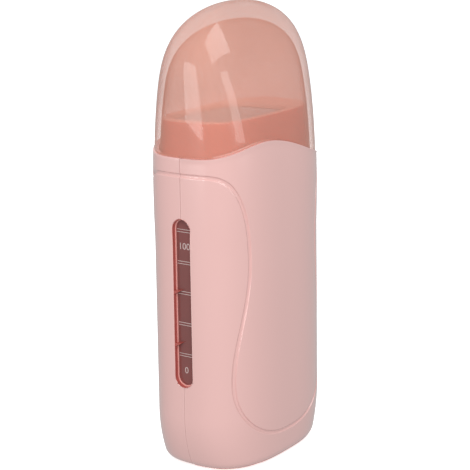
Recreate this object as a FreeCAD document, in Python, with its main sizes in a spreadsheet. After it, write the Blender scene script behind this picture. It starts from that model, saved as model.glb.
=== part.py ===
import FreeCAD, Part
import math
import os
import re
import Sketcher

# Roll-on wax heater: a hand-held case that warms one wax cartridge.
# Origin at the centre of the surface it stands on, +Z up, X across the broad side,
# Y through the thickness. The level window is on the -X side, the power inlet,
# the switch and the lamp are on the +X side. All lengths are in millimetres.

Vector = FreeCAD.Vector
ALONG_X = FreeCAD.Rotation(Vector(0, 1, 0), 90)
ALONG_Y = FreeCAD.Rotation(Vector(1, 0, 0), -90)
UPRIGHT = FreeCAD.Rotation()

SIZES = {
    # Outer form of the case and cap together
    "total_height": 200.0,
    "width_low": 84.5,            # across the broad side near the bottom
    "width_high": 83.2,           # the same at shoulder_height
    "depth_low": 53.5,            # through the thickness near the bottom
    "depth_high": 53.2,
    "shoulder_height": 150.0,
    "toe_in_width": 5.6,          # how far the sides pull in at the foot
    "toe_in_depth": 1.0,
    "toe_height": 24.0,
    "bottom_round": 4.2,
    "crown_start": 162.6,         # above this the broad view rounds over
    "crown_power": 3.34,
    "crown_root": 2.09,
    "taper_start": 100.0,         # above this the thickness tapers to the crown
    "taper_power": 2.54,
    "taper_root": 1.72,
    "corner_power": 2.77,         # squareness of the level sections
    "crown_corner_power": 3.5,
    # Case shells
    "shell_wall": 2.4,
    "rim_left": 138.1,            # top edge of the shells, a wave over the width
    "rim_rise": 140.0,
    "rim_rise_place": 33.0,
    "rim_peak": 143.1,
    "rim_peak_place": 13.0,
    "rim_fall": 137.1,
    "rim_fall_place": 13.8,
    "rim_right": 130.0,
    # Styling groove that frames the panel of each broad side
    "groove_width": 2.0,
    "groove_depth": 0.6,
    "panel_bottom": 12.9,
    "panel_belly": 33.7,          # half width of the panel where it is widest
    "panel_belly_height": 41.0,
    "panel_waist": 25.9,
    "panel_waist_height": 93.5,
    "panel_shoulder_height": 131.0,
    "panel_bottom_power": 2.3,
    "panel_shoulder_power": 2.12,
    # Level window in the -X side
    "slot_low": 38.4,
    "slot_high": 112.5,
    "slot_width": 9.5,
    "window_recess": 2.2,
    "window_gap": 0.12,
    "window_flange": 3.0,
    "window_flange_thick": 1.4,
    # Cap
    "cap_step": 0.5,              # the cap lies this far inside the case's surface
    "cap_gap": 0.3,
    "cap_wall": 2.2,
    "cap_crown": 8.0,
    # Collar and deck
    "collar_top": 153.0,
    "collar_gap": 0.4,
    "collar_wall": 2.0,
    "collar_low": 118.0,
    "collar_step_height": 127.0,
    "collar_seat_gap": 0.12,
    "deck_thick": 2.4,
    "deck_lip": 3.0,
    "deck_lip_wall": 1.2,
    "rib_wide": 1.5,              # ribs on the shells that the collar stands on
    "rib_tall": 6.0,
    "rib_thick": 1.6,
    "rib_place": 18.0,
    # Base plate and feet
    "foot_proud": 0.4,
    "flange_thick": 1.2,
    "flange_inset": 0.5,
    "plug_thick": 2.0,
    "plug_gap": 0.15,
    "foot_radius": 4.5,
    "foot_recess": 0.8,
    "foot_gap": 0.1,
    "foot_place_x": 24.0,
    "foot_place_y": 12.5,
    # Cartridge well
    "well_centre": 6.0,           # distance of the well's axis from the centre, towards -X
    "well_side_room": 30.5,       # of the case's width, for the window and the heat control
    "well_depth": 34.0,
    "well_corner": 11.0,
    "sleeve_wall": 1.3,
    "sleeve_gap": 0.2,
    "sleeve_slot_width": 10.0,
    "sleeve_slot_rise": 9.0,
    "carrier_top": 38.0,
    "carrier_thick": 2.6,
    "carrier_overhang": 2.4,
    "carrier_rim": 2.6,
    "carrier_floor": 2.0,
    "leg_radius": 3.0,
    "leg_place_x": 14.0,
    "leg_place_y": 13.0,
    # Heaters and their clamp bands
    "heater_width": 32.0,
    "heater_height": 76.0,
    "heater_thick": 1.5,
    "heater_rise": 3.4,
    "heater_tab": 4.0,
    "heater_tab_place": 9.0,
    "band_thick": 0.6,
    "band_height": 5.0,
    "band_inset": 0.5,
    "band_drop": 9.2,
    "band_gap": 0.08,
    "ear_reach": 5.0,
    "ear_split": 2.0,
    "clamp_screw_radius": 0.9,
    "clamp_screw_place": 2.9,
    "clamp_head_radius": 1.7,
    "clamp_head": 1.2,
    "clamp_nut": 1.4,
    # Thermostat and thermal fuse on the +X face of the sleeve
    "thermostat_radius": 7.8,
    "thermostat_thick": 6.0,
    "thermostat_height": 88.0,
    "thermostat_cap_radius": 5.4,
    "thermostat_cap": 2.4,
    "thermostat_blade": 3.0,
    "thermostat_blade_rise": 3.5,
    "thermostat_blade_place": 3.0,
    "contact_gap": 0.05,
    "fuse_radius": 2.0,
    "fuse_length": 11.0,
    "fuse_height": 75.5,
    "fuse_lead": 4.0,
    "fuse_lead_radius": 0.5,
    # Power inlet, a two-pin figure-of-eight socket
    "inlet_height": 21.0,
    "inlet_width": 22.0,
    "inlet_tall": 13.0,
    "inlet_corner": 2.0,
    "inlet_depth": 13.5,
    "inlet_recess": 2.2,
    "inlet_flange": 2.5,
    "inlet_flange_thick": 1.6,
    "inlet_flange_place": 6.0,
    "socket_round": 4.2,
    "socket_depth": 10.5,
    "socket_waist": 7.2,
    "pin_spacing": 8.7,
    "pin_radius": 1.2,
    "pin_recess": 1.0,
    "pin_tail": 5.0,
    "opening_gap": 0.15,
    # Rocker switch
    "switch_height": 60.0,
    "switch_flange_width": 12.0,
    "switch_flange_tall": 16.6,
    "switch_flange_thick": 1.3,
    "switch_recess": 0.4,
    "switch_body_width": 10.0,
    "switch_body_tall": 14.6,
    "switch_body_depth": 11.5,
    "switch_floor": 1.4,
    "rocker_width": 7.2,
    "rocker_half": 5.7,
    "rocker_bottom": 4.6,
    "rocker_valley": 1.9,
    "rocker_end": 2.6,
    "rocker_side_gap": 0.2,
    "rocker_end_gap": 0.65,
    "rocker_tilt": 9.0,
    "rocker_pivot": 3.3,
    "trunnion_radius": 1.0,
    "trunnion_length": 0.9,
    "hinge_gap": 0.05,
    "terminal_length": 6.0,
    "terminal_thick": 0.8,
    "terminal_width": 4.0,
    "terminal_spacing": 8.0,
    # Indicator lamp
    "lamp_rise": 22.0,            # above the switch
    "lens_radius": 2.6,
    "lens_recess": 0.2,
    "lens_flange_radius": 3.8,
    "lens_flange": 1.0,
    "lens_seat_gap": 0.3,
    "lamp_gap": 0.4,
    "lamp_radius": 1.5,
    "lamp_length": 4.6,
    "lamp_collar_radius": 1.9,
    "lamp_collar": 0.8,
    "board_thick": 1.2,
    "board_tall": 14.0,
    "board_width": 15.0,
    "board_slot_deep": 1.6,
    "board_rib_thick": 2.0,
    "board_rib_reach": 2.6,
    "resistor_radius": 0.8,
    "resistor_length": 4.6,
    "resistor_drop": 4.6,
    # Fasteners and their bosses
    "screw_radius": 1.45,
    "screw_hole_gap": 0.06,
    "screw_head_radius": 2.75,
    "screw_head": 1.8,
    "screw_slot": 0.7,
    "screw_slot_deep": 0.9,
    "screw_recess_gap": 0.35,
    "screw_reach": 9.0,
    "screw_seat": 6.0,            # depth of the rear boss's floor behind the parting plane
    "boss_radius": 3.6,
    "boss_recess_wall": 1.3,
    "boss_side_place": 32.0,
    "boss_side_low": 35.5,
    "boss_side_high": 103.0,
    "boss_foot_left": 30.0,
    "boss_foot_right": 16.5,
    "boss_foot_height": 9.5,
    "base_boss_place": 18.5,
    "base_boss_top": 15.0,
    "base_screw_length": 9.0,
    "base_head_depth": 2.0,
}

doc = FreeCAD.newDocument("RollOnWaxHeater")
sizes = doc.addObject("Spreadsheet::Sheet", "sizes")
for row, (alias, number) in enumerate(SIZES.items(), start=1):
    sizes.set(f"A{row}", alias)
    sizes.set(f"B{row}", str(number))
    sizes.setAlias(f"B{row}", alias)
doc.recompute()


# ---------------------------------------------------------------- formulas and helpers

def value(text):
    """The number that a formula of size names gives."""
    return float(sizes.evalExpression(text))


def formula(text):
    """The same formula, as objects outside the sheet refer to it."""
    return re.sub(r"\b([a-z]\w*)\b(?!\()", r"sizes.\1", text)


def bind(item, **texts):
    for name, text in texts.items():
        item.setExpression(name.replace("__", "."), formula(text))


def put(item, x="0", y="0", z="0", turn=UPRIGHT):
    """Turns an object and ties its place to the sheet."""
    item.Placement = FreeCAD.Placement(Vector(), turn)
    bind(item, Placement__Base__x=x, Placement__Base__y=y, Placement__Base__z=z)
    return item


def block(name, x, y, z, x_size, y_size, z_size):
    """A box with its centre at x, y and its underside at z."""
    item = doc.addObject("Part::Box", name)
    bind(item, Length=x_size, Width=y_size, Height=z_size)
    return put(item, f"{x} - ({x_size}) / 2", f"{y} - ({y_size}) / 2", z)


def rod(name, x, y, z, radius, length, turn=UPRIGHT):
    item = doc.addObject("Part::Cylinder", name)
    bind(item, Radius=radius, Height=length)
    return put(item, x, y, z, turn)


def fused(name, *items):
    item = doc.addObject("Part::MultiFuse", name)
    item.Shapes = list(items)
    item.Refine = True
    return item


def cut(name, base, *tools):
    item = doc.addObject("Part::Cut", name)
    item.Base = base
    item.Tool = tools[0] if len(tools) == 1 else fused(name + "_tools", *tools)
    item.Refine = True
    return item


def group(name, *items):
    """Separate solids that share one node."""
    item = doc.addObject("Part::Compound", name)
    item.Links = list(items)
    return item


parts = {}


def keep(label, item):
    """Registers an object as a piece of the heater."""
    item.Label = label
    parts[label] = item
    return item


def new_body(name):
    return doc.addObject("PartDesign::Body", name)


def new_sketch(body, plane, offset="0"):
    sketch = body.newObject("Sketcher::SketchObject", body.Name + "_sketch")
    face = [item for item in body.Origin.OriginFeatures if item.Role == plane][0]
    sketch.AttachmentSupport = [(face, "")]
    sketch.MapMode = "FlatFace"
    bind(sketch, AttachmentOffset__Base__z=offset)
    return sketch


def hold(sketch, kind, element, point, text):
    """Ties one coordinate of a point, measured from the sketch's origin."""
    index = sketch.addConstraint(Sketcher.Constraint(kind, -1, 1, element, point, value(text)))
    bind(sketch, **{f"Constraints[{index}]": text})


def hold_radius(sketch, element, text):
    index = sketch.addConstraint(Sketcher.Constraint("Radius", element, value(text)))
    bind(sketch, **{f"Constraints[{index}]": text})


def draw_polygon(sketch, corners):
    """A closed outline of straight lines through corners given as pairs of formulas."""
    points = [Vector(value(x), value(y), 0) for x, y in corners]
    lines = []
    for start, end in zip(points, points[1:] + points[:1]):
        lines.append(sketch.addGeometry(Part.LineSegment(start, end), False))
    for index, line in enumerate(lines):
        after = lines[(index + 1) % len(lines)]
        sketch.addConstraint(Sketcher.Constraint("Coincident", line, 2, after, 1))
    for line, (x, y) in zip(lines, corners):
        hold(sketch, "DistanceX", line, 1, x)
        hold(sketch, "DistanceY", line, 1, y)


def draw_rectangle(sketch, x, y, wide, tall):
    left, right = f"{x} - ({wide}) / 2", f"{x} + ({wide}) / 2"
    low, high = f"{y} - ({tall}) / 2", f"{y} + ({tall}) / 2"
    draw_polygon(sketch, [(left, low), (right, low), (right, high), (left, high)])


def draw_circle(sketch, x, y, radius):
    ring = Part.Circle(Vector(value(x), value(y), 0), Vector(0, 0, 1), value(radius))
    circle = sketch.addGeometry(ring, False)
    hold(sketch, "DistanceX", circle, 3, x)
    hold(sketch, "DistanceY", circle, 3, y)
    hold_radius(sketch, circle, radius)


def draw_round_rectangle(sketch, x, y, wide, tall, radius):
    """A rectangle about x, y with rounded corners."""
    across, up = f"(({wide}) / 2 - ({radius}))", f"(({tall}) / 2 - ({radius}))"
    arcs, lines = [], []
    quadrants = [(1, 1), (-1, 1), (-1, -1), (1, -1)]
    for index, (side, end) in enumerate(quadrants):
        centre_x, centre_y = f"{x} + {side} * {across}", f"{y} + {end} * {up}"
        centre = Vector(value(centre_x), value(centre_y), 0)
        ring = Part.Circle(centre, Vector(0, 0, 1), value(radius))
        start = index * math.pi / 2
        arcs.append(sketch.addGeometry(Part.ArcOfCircle(ring, start, start + math.pi / 2), False))
    for index, arc in enumerate(arcs):
        after = arcs[(index + 1) % 4]
        begin, finish = sketch.getPoint(arc, 2), sketch.getPoint(after, 1)
        lines.append(sketch.addGeometry(Part.LineSegment(begin, finish), False))
    for index, (side, end) in enumerate(quadrants):
        arc, line, after = arcs[index], lines[index], arcs[(index + 1) % 4]
        sketch.addConstraint(Sketcher.Constraint("Tangent", arc, 2, line, 1))
        sketch.addConstraint(Sketcher.Constraint("Tangent", line, 2, after, 1))
        hold(sketch, "DistanceX", arc, 3, f"{x} + {side} * {across}")
        hold(sketch, "DistanceY", arc, 3, f"{y} + {end} * {up}")
    hold_radius(sketch, arcs[0], radius)
    for arc in arcs[1:]:
        sketch.addConstraint(Sketcher.Constraint("Equal", arcs[0], arc))


def pad(body, sketch, length, symmetric=False, reverse=False):
    feature = body.newObject("PartDesign::Pad", body.Name + "_pad")
    feature.Profile = sketch
    feature.SideType = "Symmetric" if symmetric else "One side"
    feature.Reversed = reverse
    bind(feature, Length=length)
    return feature


def pocket(body, sketch, length, reverse=False, symmetric=False):
    """A pocket whose cut is compared with the volume that it is taken from."""
    doc.recompute()
    before = body.Shape.Volume
    feature = body.newObject("PartDesign::Pocket", body.Name + "_pocket")
    feature.Profile = sketch
    feature.SideType = "Symmetric" if symmetric else "One side"
    feature.Reversed = reverse
    bind(feature, Length=length)
    doc.recompute()
    if body.Shape.Volume > before - 1e-3:
        raise RuntimeError(f"the pocket in {body.Name} cuts nothing")
    return feature


def turned(name, profile):
    """A body of revolution about Z, from corners given as radius and height."""
    body = new_body(name)
    sketch = new_sketch(body, "XZ_Plane")
    draw_polygon(sketch, profile)
    feature = body.newObject("PartDesign::Revolution", name + "_turn")
    feature.Profile = sketch
    feature.ReferenceAxis = (sketch, ["V_Axis"])
    feature.Angle = 360
    return body


def side_at(height):
    """X of the case's +X surface on the parting plane, as a formula."""
    straight = f"(width_low + (width_high - width_low) * {height} / shoulder_height) / 2"
    return f"({straight} - toe_in_width * max(0; 1 - {height} / toe_height) ^ 2)"


# Places that several pieces share, as formulas
WELL = "-well_centre"
WELL_WIDE = "(width_low - well_side_room)"
LAMP_HEIGHT = "(switch_height + lamp_rise)"
SHELL_FOOT = "(foot_proud + flange_thick)"
PLUG_TOP = f"({SHELL_FOOT} + plug_thick)"
DECK_LOW = "(collar_top - deck_thick)"
SLEEVE_WIDE = f"({WELL_WIDE} + 2 * sleeve_wall)"
SLEEVE_DEEP = "(well_depth + 2 * sleeve_wall)"
SLEEVE_SIDE = f"(-well_centre + {SLEEVE_WIDE} / 2)"
HEATER_LOW = "(carrier_top + heater_rise)"
INLET_FACE = f"({side_at('inlet_height')} - inlet_recess)"
SWITCH_FACE = f"({side_at('switch_height')} - switch_recess)"
LENS_FACE = f"({side_at(LAMP_HEIGHT)} - lens_recess)"
LENS_BACK = f"({side_at(LAMP_HEIGHT)} - shell_wall - lens_seat_gap - lens_flange)"
BOARD_BACK = f"({LENS_BACK} - lamp_gap - lamp_length - board_thick)"


# ---------------------------------------------------------------- the outer form

def half_sizes(height, inset=0.0, top=None):
    """Half width, half depth and squareness of the form's level section."""
    top = top or value("total_height")
    share = height / value("shoulder_height")
    toe = max(0.0, 1 - height / value("toe_height")) ** 2
    half_width = (value("width_low") * (1 - share) + value("width_high") * share) / 2
    half_depth = (value("depth_low") * (1 - share) + value("depth_high") * share) / 2
    half_width -= value("toe_in_width") * toe
    half_depth -= value("toe_in_depth") * toe
    rounding = value("bottom_round")
    if height < rounding:
        pull = rounding - math.sqrt(rounding ** 2 - (rounding - max(height, 0.0)) ** 2)
        half_width -= pull
        half_depth -= pull
    half_width -= inset
    half_depth -= inset
    power = value("corner_power")
    crown = (height - value("crown_start")) / (top - value("crown_start"))
    if crown > 0:
        half_width *= (1 - crown ** value("crown_power")) ** (1 / value("crown_root"))
    taper = (height - value("taper_start")) / (top - value("taper_start"))
    if taper > 0:
        half_depth *= (1 - taper ** value("taper_power")) ** (1 / value("taper_root"))
        power += (value("crown_corner_power") - power) * taper
    return half_width, half_depth, power


def section_points(height, inset=0.0, top=None):
    """Points round a level superellipse section, from the +X side over the rear."""
    half_width, half_depth, power = half_sizes(height, inset, top)
    points = []
    count = 24
    for step in range(count):
        angle = 2 * math.pi * step / count
        along, through = round(math.cos(angle), 9), round(math.sin(angle), 9)
        x = math.copysign(abs(along) ** (2 / power), along) * half_width
        y = math.copysign(abs(through) ** (2 / power), through) * half_depth
        points.append(Vector(x, y, height))
    return points


def point_shares():
    """How far round a section each point lies; all sections share it, so lofts stay light."""
    points = section_points(value("toe_height"))
    travelled = [0.0]
    for start, end in zip(points, points[1:] + points[:1]):
        travelled.append(travelled[-1] + start.distanceToPoint(end))
    return [distance / travelled[-1] for distance in travelled]


POINT_SHARES = point_shares()


def section(height, inset=0.0, top=None):
    """One level section of the form, a closed smooth curve."""
    curve = Part.BSplineCurve()
    curve.interpolate(Points=section_points(height, inset, top), Parameters=POINT_SHARES,
                      PeriodicFlag=True)
    return Part.Wire([curve.toShape()])


def form_levels(low, high, top):
    """Heights of the sections from low to high, closer where the form rounds over."""
    levels = [low]
    while levels[-1] < high:
        level = levels[-1]
        step = min(11.0, 0.45 * level + 0.5, 0.4 * (top - level) + 0.02)
        if high - level < 1.6 * step:
            if high - level > 0.9 * step:
                levels.append((level + high) / 2)
            levels.append(high)
        else:
            levels.append(level + step)
    return levels


def form_solid(inset, low, high, top=None):
    """The part of the form between two heights, shrunk by inset."""
    top = top or value("total_height")
    wires = [section(level, inset, top) for level in form_levels(low, high, top)]
    return Part.makeLoft(wires, True, False)


def rim_curve(lift=0.0):
    """The wave of the shells' top edge in the XZ plane, raised by lift."""
    reach = value("width_low") / 2 + 2
    points = [
        (-reach, value("rim_left")),
        (-value("rim_rise_place"), value("rim_rise")),
        (-value("rim_peak_place"), value("rim_peak")),
        (value("rim_fall_place"), value("rim_fall")),
        (reach, value("rim_right")),
    ]
    curve = Part.BSplineCurve()
    level = Vector(1, 0, 0)
    curve.interpolate(Points=[Vector(x, 0, z + lift) for x, z in points],
                      InitialTangent=level, FinalTangent=level)
    return curve


def swept_through(face_wire, reach):
    """A solid as thick as reach to both sides of the XZ plane."""
    face = Part.Face(face_wire)
    face.translate(Vector(0, -reach, 0))
    return face.extrude(Vector(0, 2 * reach, 0))


def above_rim(lift):
    """Everything above the rim's wave."""
    curve = rim_curve(lift).toShape()
    left, right = curve.Vertexes[0].Point, curve.Vertexes[-1].Point
    sky = value("total_height") + 10
    lines = Part.makePolygon([right, Vector(right.x, 0, sky), Vector(left.x, 0, sky), left])
    return swept_through(Part.Wire([curve] + lines.Edges), value("depth_low"))


def panel_half_width(height):
    """Half width of the broad side's panel, from its bottom to its shoulder."""
    belly, waist = value("panel_belly"), value("panel_waist")
    belly_height, waist_height = value("panel_belly_height"), value("panel_waist_height")
    if height <= belly_height:
        drop = (belly_height - height) / (belly_height - value("panel_bottom"))
        power = value("panel_bottom_power")
        return belly * max(0.0, 1 - drop ** power) ** (1 / power)
    if height <= waist_height:
        swing = math.cos(math.pi * (height - belly_height) / (waist_height - belly_height))
        return (belly + waist) / 2 + (belly - waist) / 2 * swing
    edge = value("width_high") / 2
    rise = (height - waist_height) / (value("panel_shoulder_height") - waist_height)
    power = value("panel_shoulder_power")
    return edge - (edge - waist) * max(0.0, 1 - rise ** power) ** (1 / power)


def panel_points():
    """Points of the groove's centre line, from the bottom up the +X side and out."""
    bottom, belly = value("panel_bottom"), value("panel_belly_height")
    waist, shoulder = value("panel_waist_height"), value("panel_shoulder_height")
    heights = [belly - (belly - bottom) * math.cos(math.radians(turn))
               for turn in (0, 12, 25, 40, 55, 72, 90)]
    heights += [belly + (waist - belly) * part for part in (0.25, 0.5, 0.75, 1.0)]
    heights += [waist + (shoulder - waist) * math.sin(math.radians(turn))
                for turn in (20, 38, 54, 68, 80, 90)]
    points = [Vector(panel_half_width(height), 0, height) for height in heights]
    reach = value("width_low") / 2 + 4
    return points + [Vector(reach, 0, shoulder)]


def groove_edge(side):
    """One edge of the groove, half its width off the centre line."""
    points = panel_points()
    points = [Vector(-point.x, 0, point.z) for point in reversed(points[1:])] + points
    centre = Part.BSplineCurve()
    centre.interpolate(Points=points)
    moved = []
    for point in points:
        along = centre.tangent(centre.parameter(point))[0]
        aside = Vector(along.z, 0, -along.x) * (side * value("groove_width") / 2)
        moved.append(point + aside)
    edge = Part.BSplineCurve()
    edge.interpolate(Points=moved)
    return edge.toShape()


def groove_tool():
    """The skin of the form that lies under the groove's band."""
    outside, inside = groove_edge(1), groove_edge(-1)
    ends = [Part.makeLine(outside.Vertexes[k].Point, inside.Vertexes[k].Point) for k in (0, -1)]
    band = swept_through(Part.Wire(Part.__sortEdges__([outside, inside] + ends)), value("depth_low"))
    low, high = value("panel_bottom") - 4, value("panel_shoulder_height") + 3
    skin = form_solid(-1.0, low, high).cut(form_solid(value("groove_depth"), low - 1, high + 1))
    return band.common(skin)


def stadium(wide, low, high, x_from, x_to, y=0.0):
    """An upright slot shape that runs along X."""
    radius = wide / 2
    top, bottom = Vector(x_from, y, high - radius), Vector(x_from, y, low + radius)
    aside, up = Vector(0, radius, 0), Vector(0, 0, radius)
    edges = [
        Part.Arc(top - aside, top + up, top + aside).toShape(),
        Part.makeLine(top + aside, bottom + aside),
        Part.Arc(bottom + aside, bottom - up, bottom - aside).toShape(),
        Part.makeLine(bottom - aside, top - aside),
    ]
    return Part.Face(Part.Wire(edges)).extrude(Vector(x_to - x_from, 0, 0))


def brick(x_from, x_to, y_from, y_to, z_from, z_to):
    corner = Vector(min(x_from, x_to), min(y_from, y_to), min(z_from, z_to))
    return Part.makeBox(abs(x_to - x_from), abs(y_to - y_from), abs(z_to - z_from), corner)


def drum(x, y, z, radius, length, direction):
    return Part.makeCylinder(radius, length, Vector(x, y, z), direction)


def solid_feature(name, shape):
    """A piece whose surface follows the free form, made with Part's functions."""
    if len(shape.Solids) == 1:
        shape = shape.Solids[0]
    item = doc.addObject("Part::Feature", name)
    item.Shape = shape
    item.Placement = FreeCAD.Placement()
    return keep(name, item)


# ---------------------------------------------------------------- case shells

WALL = value("shell_wall")
TOP = value("total_height")
CEILING = value("total_height - cap_crown")
SHELL_LOW = value(SHELL_FOOT)
RIM_HIGH = value("rim_peak") + 1.5
WELL_X = value(WELL)
OUT = value("width_low") / 2 + 3


def wall_openings():
    """Cut-outs in the narrow sides: window slot, inlet, switch and lens."""
    gap = value("opening_gap")
    inside = OUT - 14
    slot = stadium(value("slot_width"), value("slot_low"), value("slot_high"), -OUT, -inside)
    width, tall = value("inlet_width") / 2 + gap, value("inlet_tall") / 2 + gap
    middle = value("inlet_height")
    inlet = brick(inside - 6, OUT, -width, width, middle - tall, middle + tall)
    upright = [edge for edge in inlet.Edges if abs(edge.tangentAt(edge.FirstParameter).x) > 0.9]
    inlet = inlet.makeFillet(value("inlet_corner") + gap, upright)
    middle = value("switch_height")
    width, tall = value("switch_body_width") / 2 + gap, value("switch_body_tall") / 2 + gap
    through = brick(inside, OUT, -width, width, middle - tall, middle + tall)
    width, tall = value("switch_flange_width") / 2 + gap, value("switch_flange_tall") / 2 + gap
    seat = value(f"{SWITCH_FACE} - switch_flange_thick")
    recess = brick(seat, OUT, -width, width, middle - tall, middle + tall)
    lens = drum(inside, 0, value(LAMP_HEIGHT), value("lens_radius") + gap, OUT - inside,
                Vector(1, 0, 0))
    return [slot, inlet, through, recess, lens]


def case_wall():
    """Both shells' wall in one, before it is parted."""
    outer = form_solid(0, SHELL_LOW, RIM_HIGH)
    wall = outer.cut(form_solid(WALL, SHELL_LOW - 0.5, RIM_HIGH + 0.5))
    return wall.cut(above_rim(0)).cut(groove_tool())


def collar_ribs(side):
    """Short upright ribs on the broad wall that the collar stands on."""
    top = value("collar_low")
    low = top - value("rib_tall")
    inner = form_solid(WALL + value("rib_wide"), low - 1, top + 1)
    ribs = []
    for step in (-1, 0, 1):
        x = step * value("rib_place")
        half = value("rib_thick") / 2
        rib = brick(x - half, x + half, 0, side * value("depth_low") / 2, low, top)
        ribs.append(rib.cut(inner))
    return ribs


def boss_places():
    side, low, high = value("boss_side_place"), value("boss_side_low"), value("boss_side_high")
    foot = value("boss_foot_height")
    return [(side, high), (side, low), (value("boss_foot_right"), foot),
            (-value("boss_foot_left"), foot)]


def screw_bosses(side):
    """Round bosses that reach from the broad wall to the parting plane."""
    reach = value("depth_low") / 2
    radius = value("boss_radius")
    if side > 0:
        radius = value("screw_head_radius") + value("screw_recess_gap") + value("boss_recess_wall")
    towards = Vector(0, -side, 0)
    bosses = [drum(x, side * reach, z, radius, reach, towards) for x, z in boss_places()]
    return bosses


def screw_holes(side):
    """The pilot hole of a front boss, or the hole and head recess of a rear one."""
    hole = value("screw_radius") + value("screw_hole_gap")
    tools = []
    for x, z in boss_places():
        if side < 0:
            depth = value("screw_reach") + 1
            tools.append(drum(x, 0, z, hole, depth, Vector(0, -1, 0)))
        else:
            seat = value("screw_seat")
            recess = value("screw_head_radius") + value("screw_recess_gap")
            tools.append(drum(x, -1, z, hole + 0.15, seat + 2, Vector(0, 1, 0)))
            tools.append(drum(x, seat, z, recess, value("depth_low"), Vector(0, 1, 0)))
    return tools


def board_ribs(side):
    """A small shelf on the +X side with a slot for one edge of the lamp board."""
    middle, thick = value(LAMP_HEIGHT), value("board_rib_thick")
    board_x = value(BOARD_BACK)
    edge = value("board_width") / 2
    reach = value("board_rib_reach")
    rib = brick(board_x - reach, OUT - 4, side * (edge - value("board_slot_deep")),
                side * value("depth_low") / 2, middle - thick / 2, middle + thick / 2)
    gap = value("opening_gap")
    slot = brick(board_x - gap, board_x + value("board_thick") + gap, 0,
                 side * (edge + gap), middle - thick, middle + thick)
    return rib.cut(slot)


def base_boss(side):
    """An upright boss on the broad wall that takes a base screw."""
    place, radius = side * value("base_boss_place"), value("boss_radius")
    low = value(PLUG_TOP) + value("plug_gap")
    height = value("base_boss_top") - low
    post = drum(WELL_X, place, low, radius, height, Vector(0, 0, 1))
    web = brick(WELL_X - 1, WELL_X + 1, place, side * value("depth_low") / 2, low,
                value("base_boss_top"))
    return post.fuse(web)


def shell(side):
    """One half of the case: side -1 is the front, +1 the rear."""
    reach = value("depth_low")
    half = brick(-OUT - 2, OUT + 2, 0, side * reach, -5, TOP)
    wall = CASE_WALL.common(half).cut(wall_openings())
    envelope = form_solid(WALL / 2, SHELL_LOW, RIM_HIGH).common(half)
    grown = screw_bosses(side) + collar_ribs(side) + [board_ribs(side), base_boss(side)]
    inner = [item.common(envelope) for item in grown]
    whole = wall.fuse(inner)
    hole = value("screw_radius") + value("screw_hole_gap")
    base_hole = drum(WELL_X, side * value("base_boss_place"), 0, hole,
                     value("base_boss_top") - 1.5, Vector(0, 0, 1))
    whole = whole.cut(screw_holes(side) + [base_hole])
    return whole.removeSplitter()


CASE_WALL = case_wall()
solid_feature("front_shell", shell(-1))
solid_feature("rear_shell", shell(1))


# ---------------------------------------------------------------- cap, collar and window

def cap_shape():
    """A closed shell over the collar, cut at its foot along the rim's wave."""
    low = value("rim_right") - 3
    step, wall = value("cap_step"), value("cap_wall")
    outer = form_solid(step, low, TOP - 0.03)
    inner = form_solid(step + wall, low - 1, CEILING - 0.03, CEILING)
    shape = outer.cut(inner)
    return shape.common(above_rim(value("cap_gap")))


def collar_shape():
    """The ring that guides the cap, its deck, and the lip that centres the sleeve."""
    inset = value("cap_step") + value("cap_wall") + value("collar_gap")
    low, step, top = value("collar_low"), value("collar_step_height"), value("collar_top")
    foot = form_solid(WALL + value("collar_seat_gap"), low, step)
    guide = form_solid(inset, step - 1, top, CEILING)
    ring = guide.fuse(foot)
    deck_low = top - value("deck_thick")
    hollow = form_solid(inset + value("collar_wall"), low - 1, deck_low, CEILING)
    ring = ring.cut(hollow)
    wide, deep, corner = value(WELL_WIDE), value("well_depth"), value("well_corner")
    grow = 2 * (value("sleeve_wall") + value("sleeve_gap"))
    lip_low = deck_low - value("deck_lip")
    lip_out = grow + 2 * value("deck_lip_wall")
    lip = upright_tube(wide + lip_out, deep + lip_out, corner + lip_out / 2, lip_low, deck_low + 0.5)
    ring = ring.fuse(lip.common(guide))
    ring = ring.cut([upright_tube(wide, deep, corner, low, top + 1),
                     upright_tube(wide + grow, deep + grow, corner + grow / 2, low, deck_low)])
    return ring.removeSplitter()


def upright_tube(wide, deep, corner, low, high):
    """A solid column about the well's axis with rounded upright edges."""
    column = brick(WELL_X - wide / 2, WELL_X + wide / 2, -deep / 2, deep / 2, low, high)
    upright = [edge for edge in column.Edges if abs(edge.tangentAt(edge.FirstParameter).z) > 0.9]
    return column.makeFillet(corner, upright)


def window_shape():
    """A clear insert: a face that fills the slot and a flange behind the wall."""
    low, high, gap = value("slot_low"), value("slot_high"), value("window_gap")
    width, flange = value("slot_width"), value("window_flange")
    behind = WALL + gap
    thick = value("window_flange_thick")
    inner = form_solid(behind + thick, low - 9, high + 9)
    face = stadium(width - 2 * gap, low + gap, high - gap, -OUT, -OUT + 12)
    face = face.common(form_solid(value("window_recess"), low - 8, high + 8))
    plate = stadium(width + 2 * flange, low - flange, high + flange, -OUT, -OUT + 12)
    plate = plate.common(form_solid(behind, low - 8, high + 8))
    return face.fuse(plate).cut(inner).removeSplitter()


solid_feature("cap", cap_shape())
solid_feature("top_collar", collar_shape())
solid_feature("level_window", window_shape())


# ---------------------------------------------------------------- base plate and feet

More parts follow.
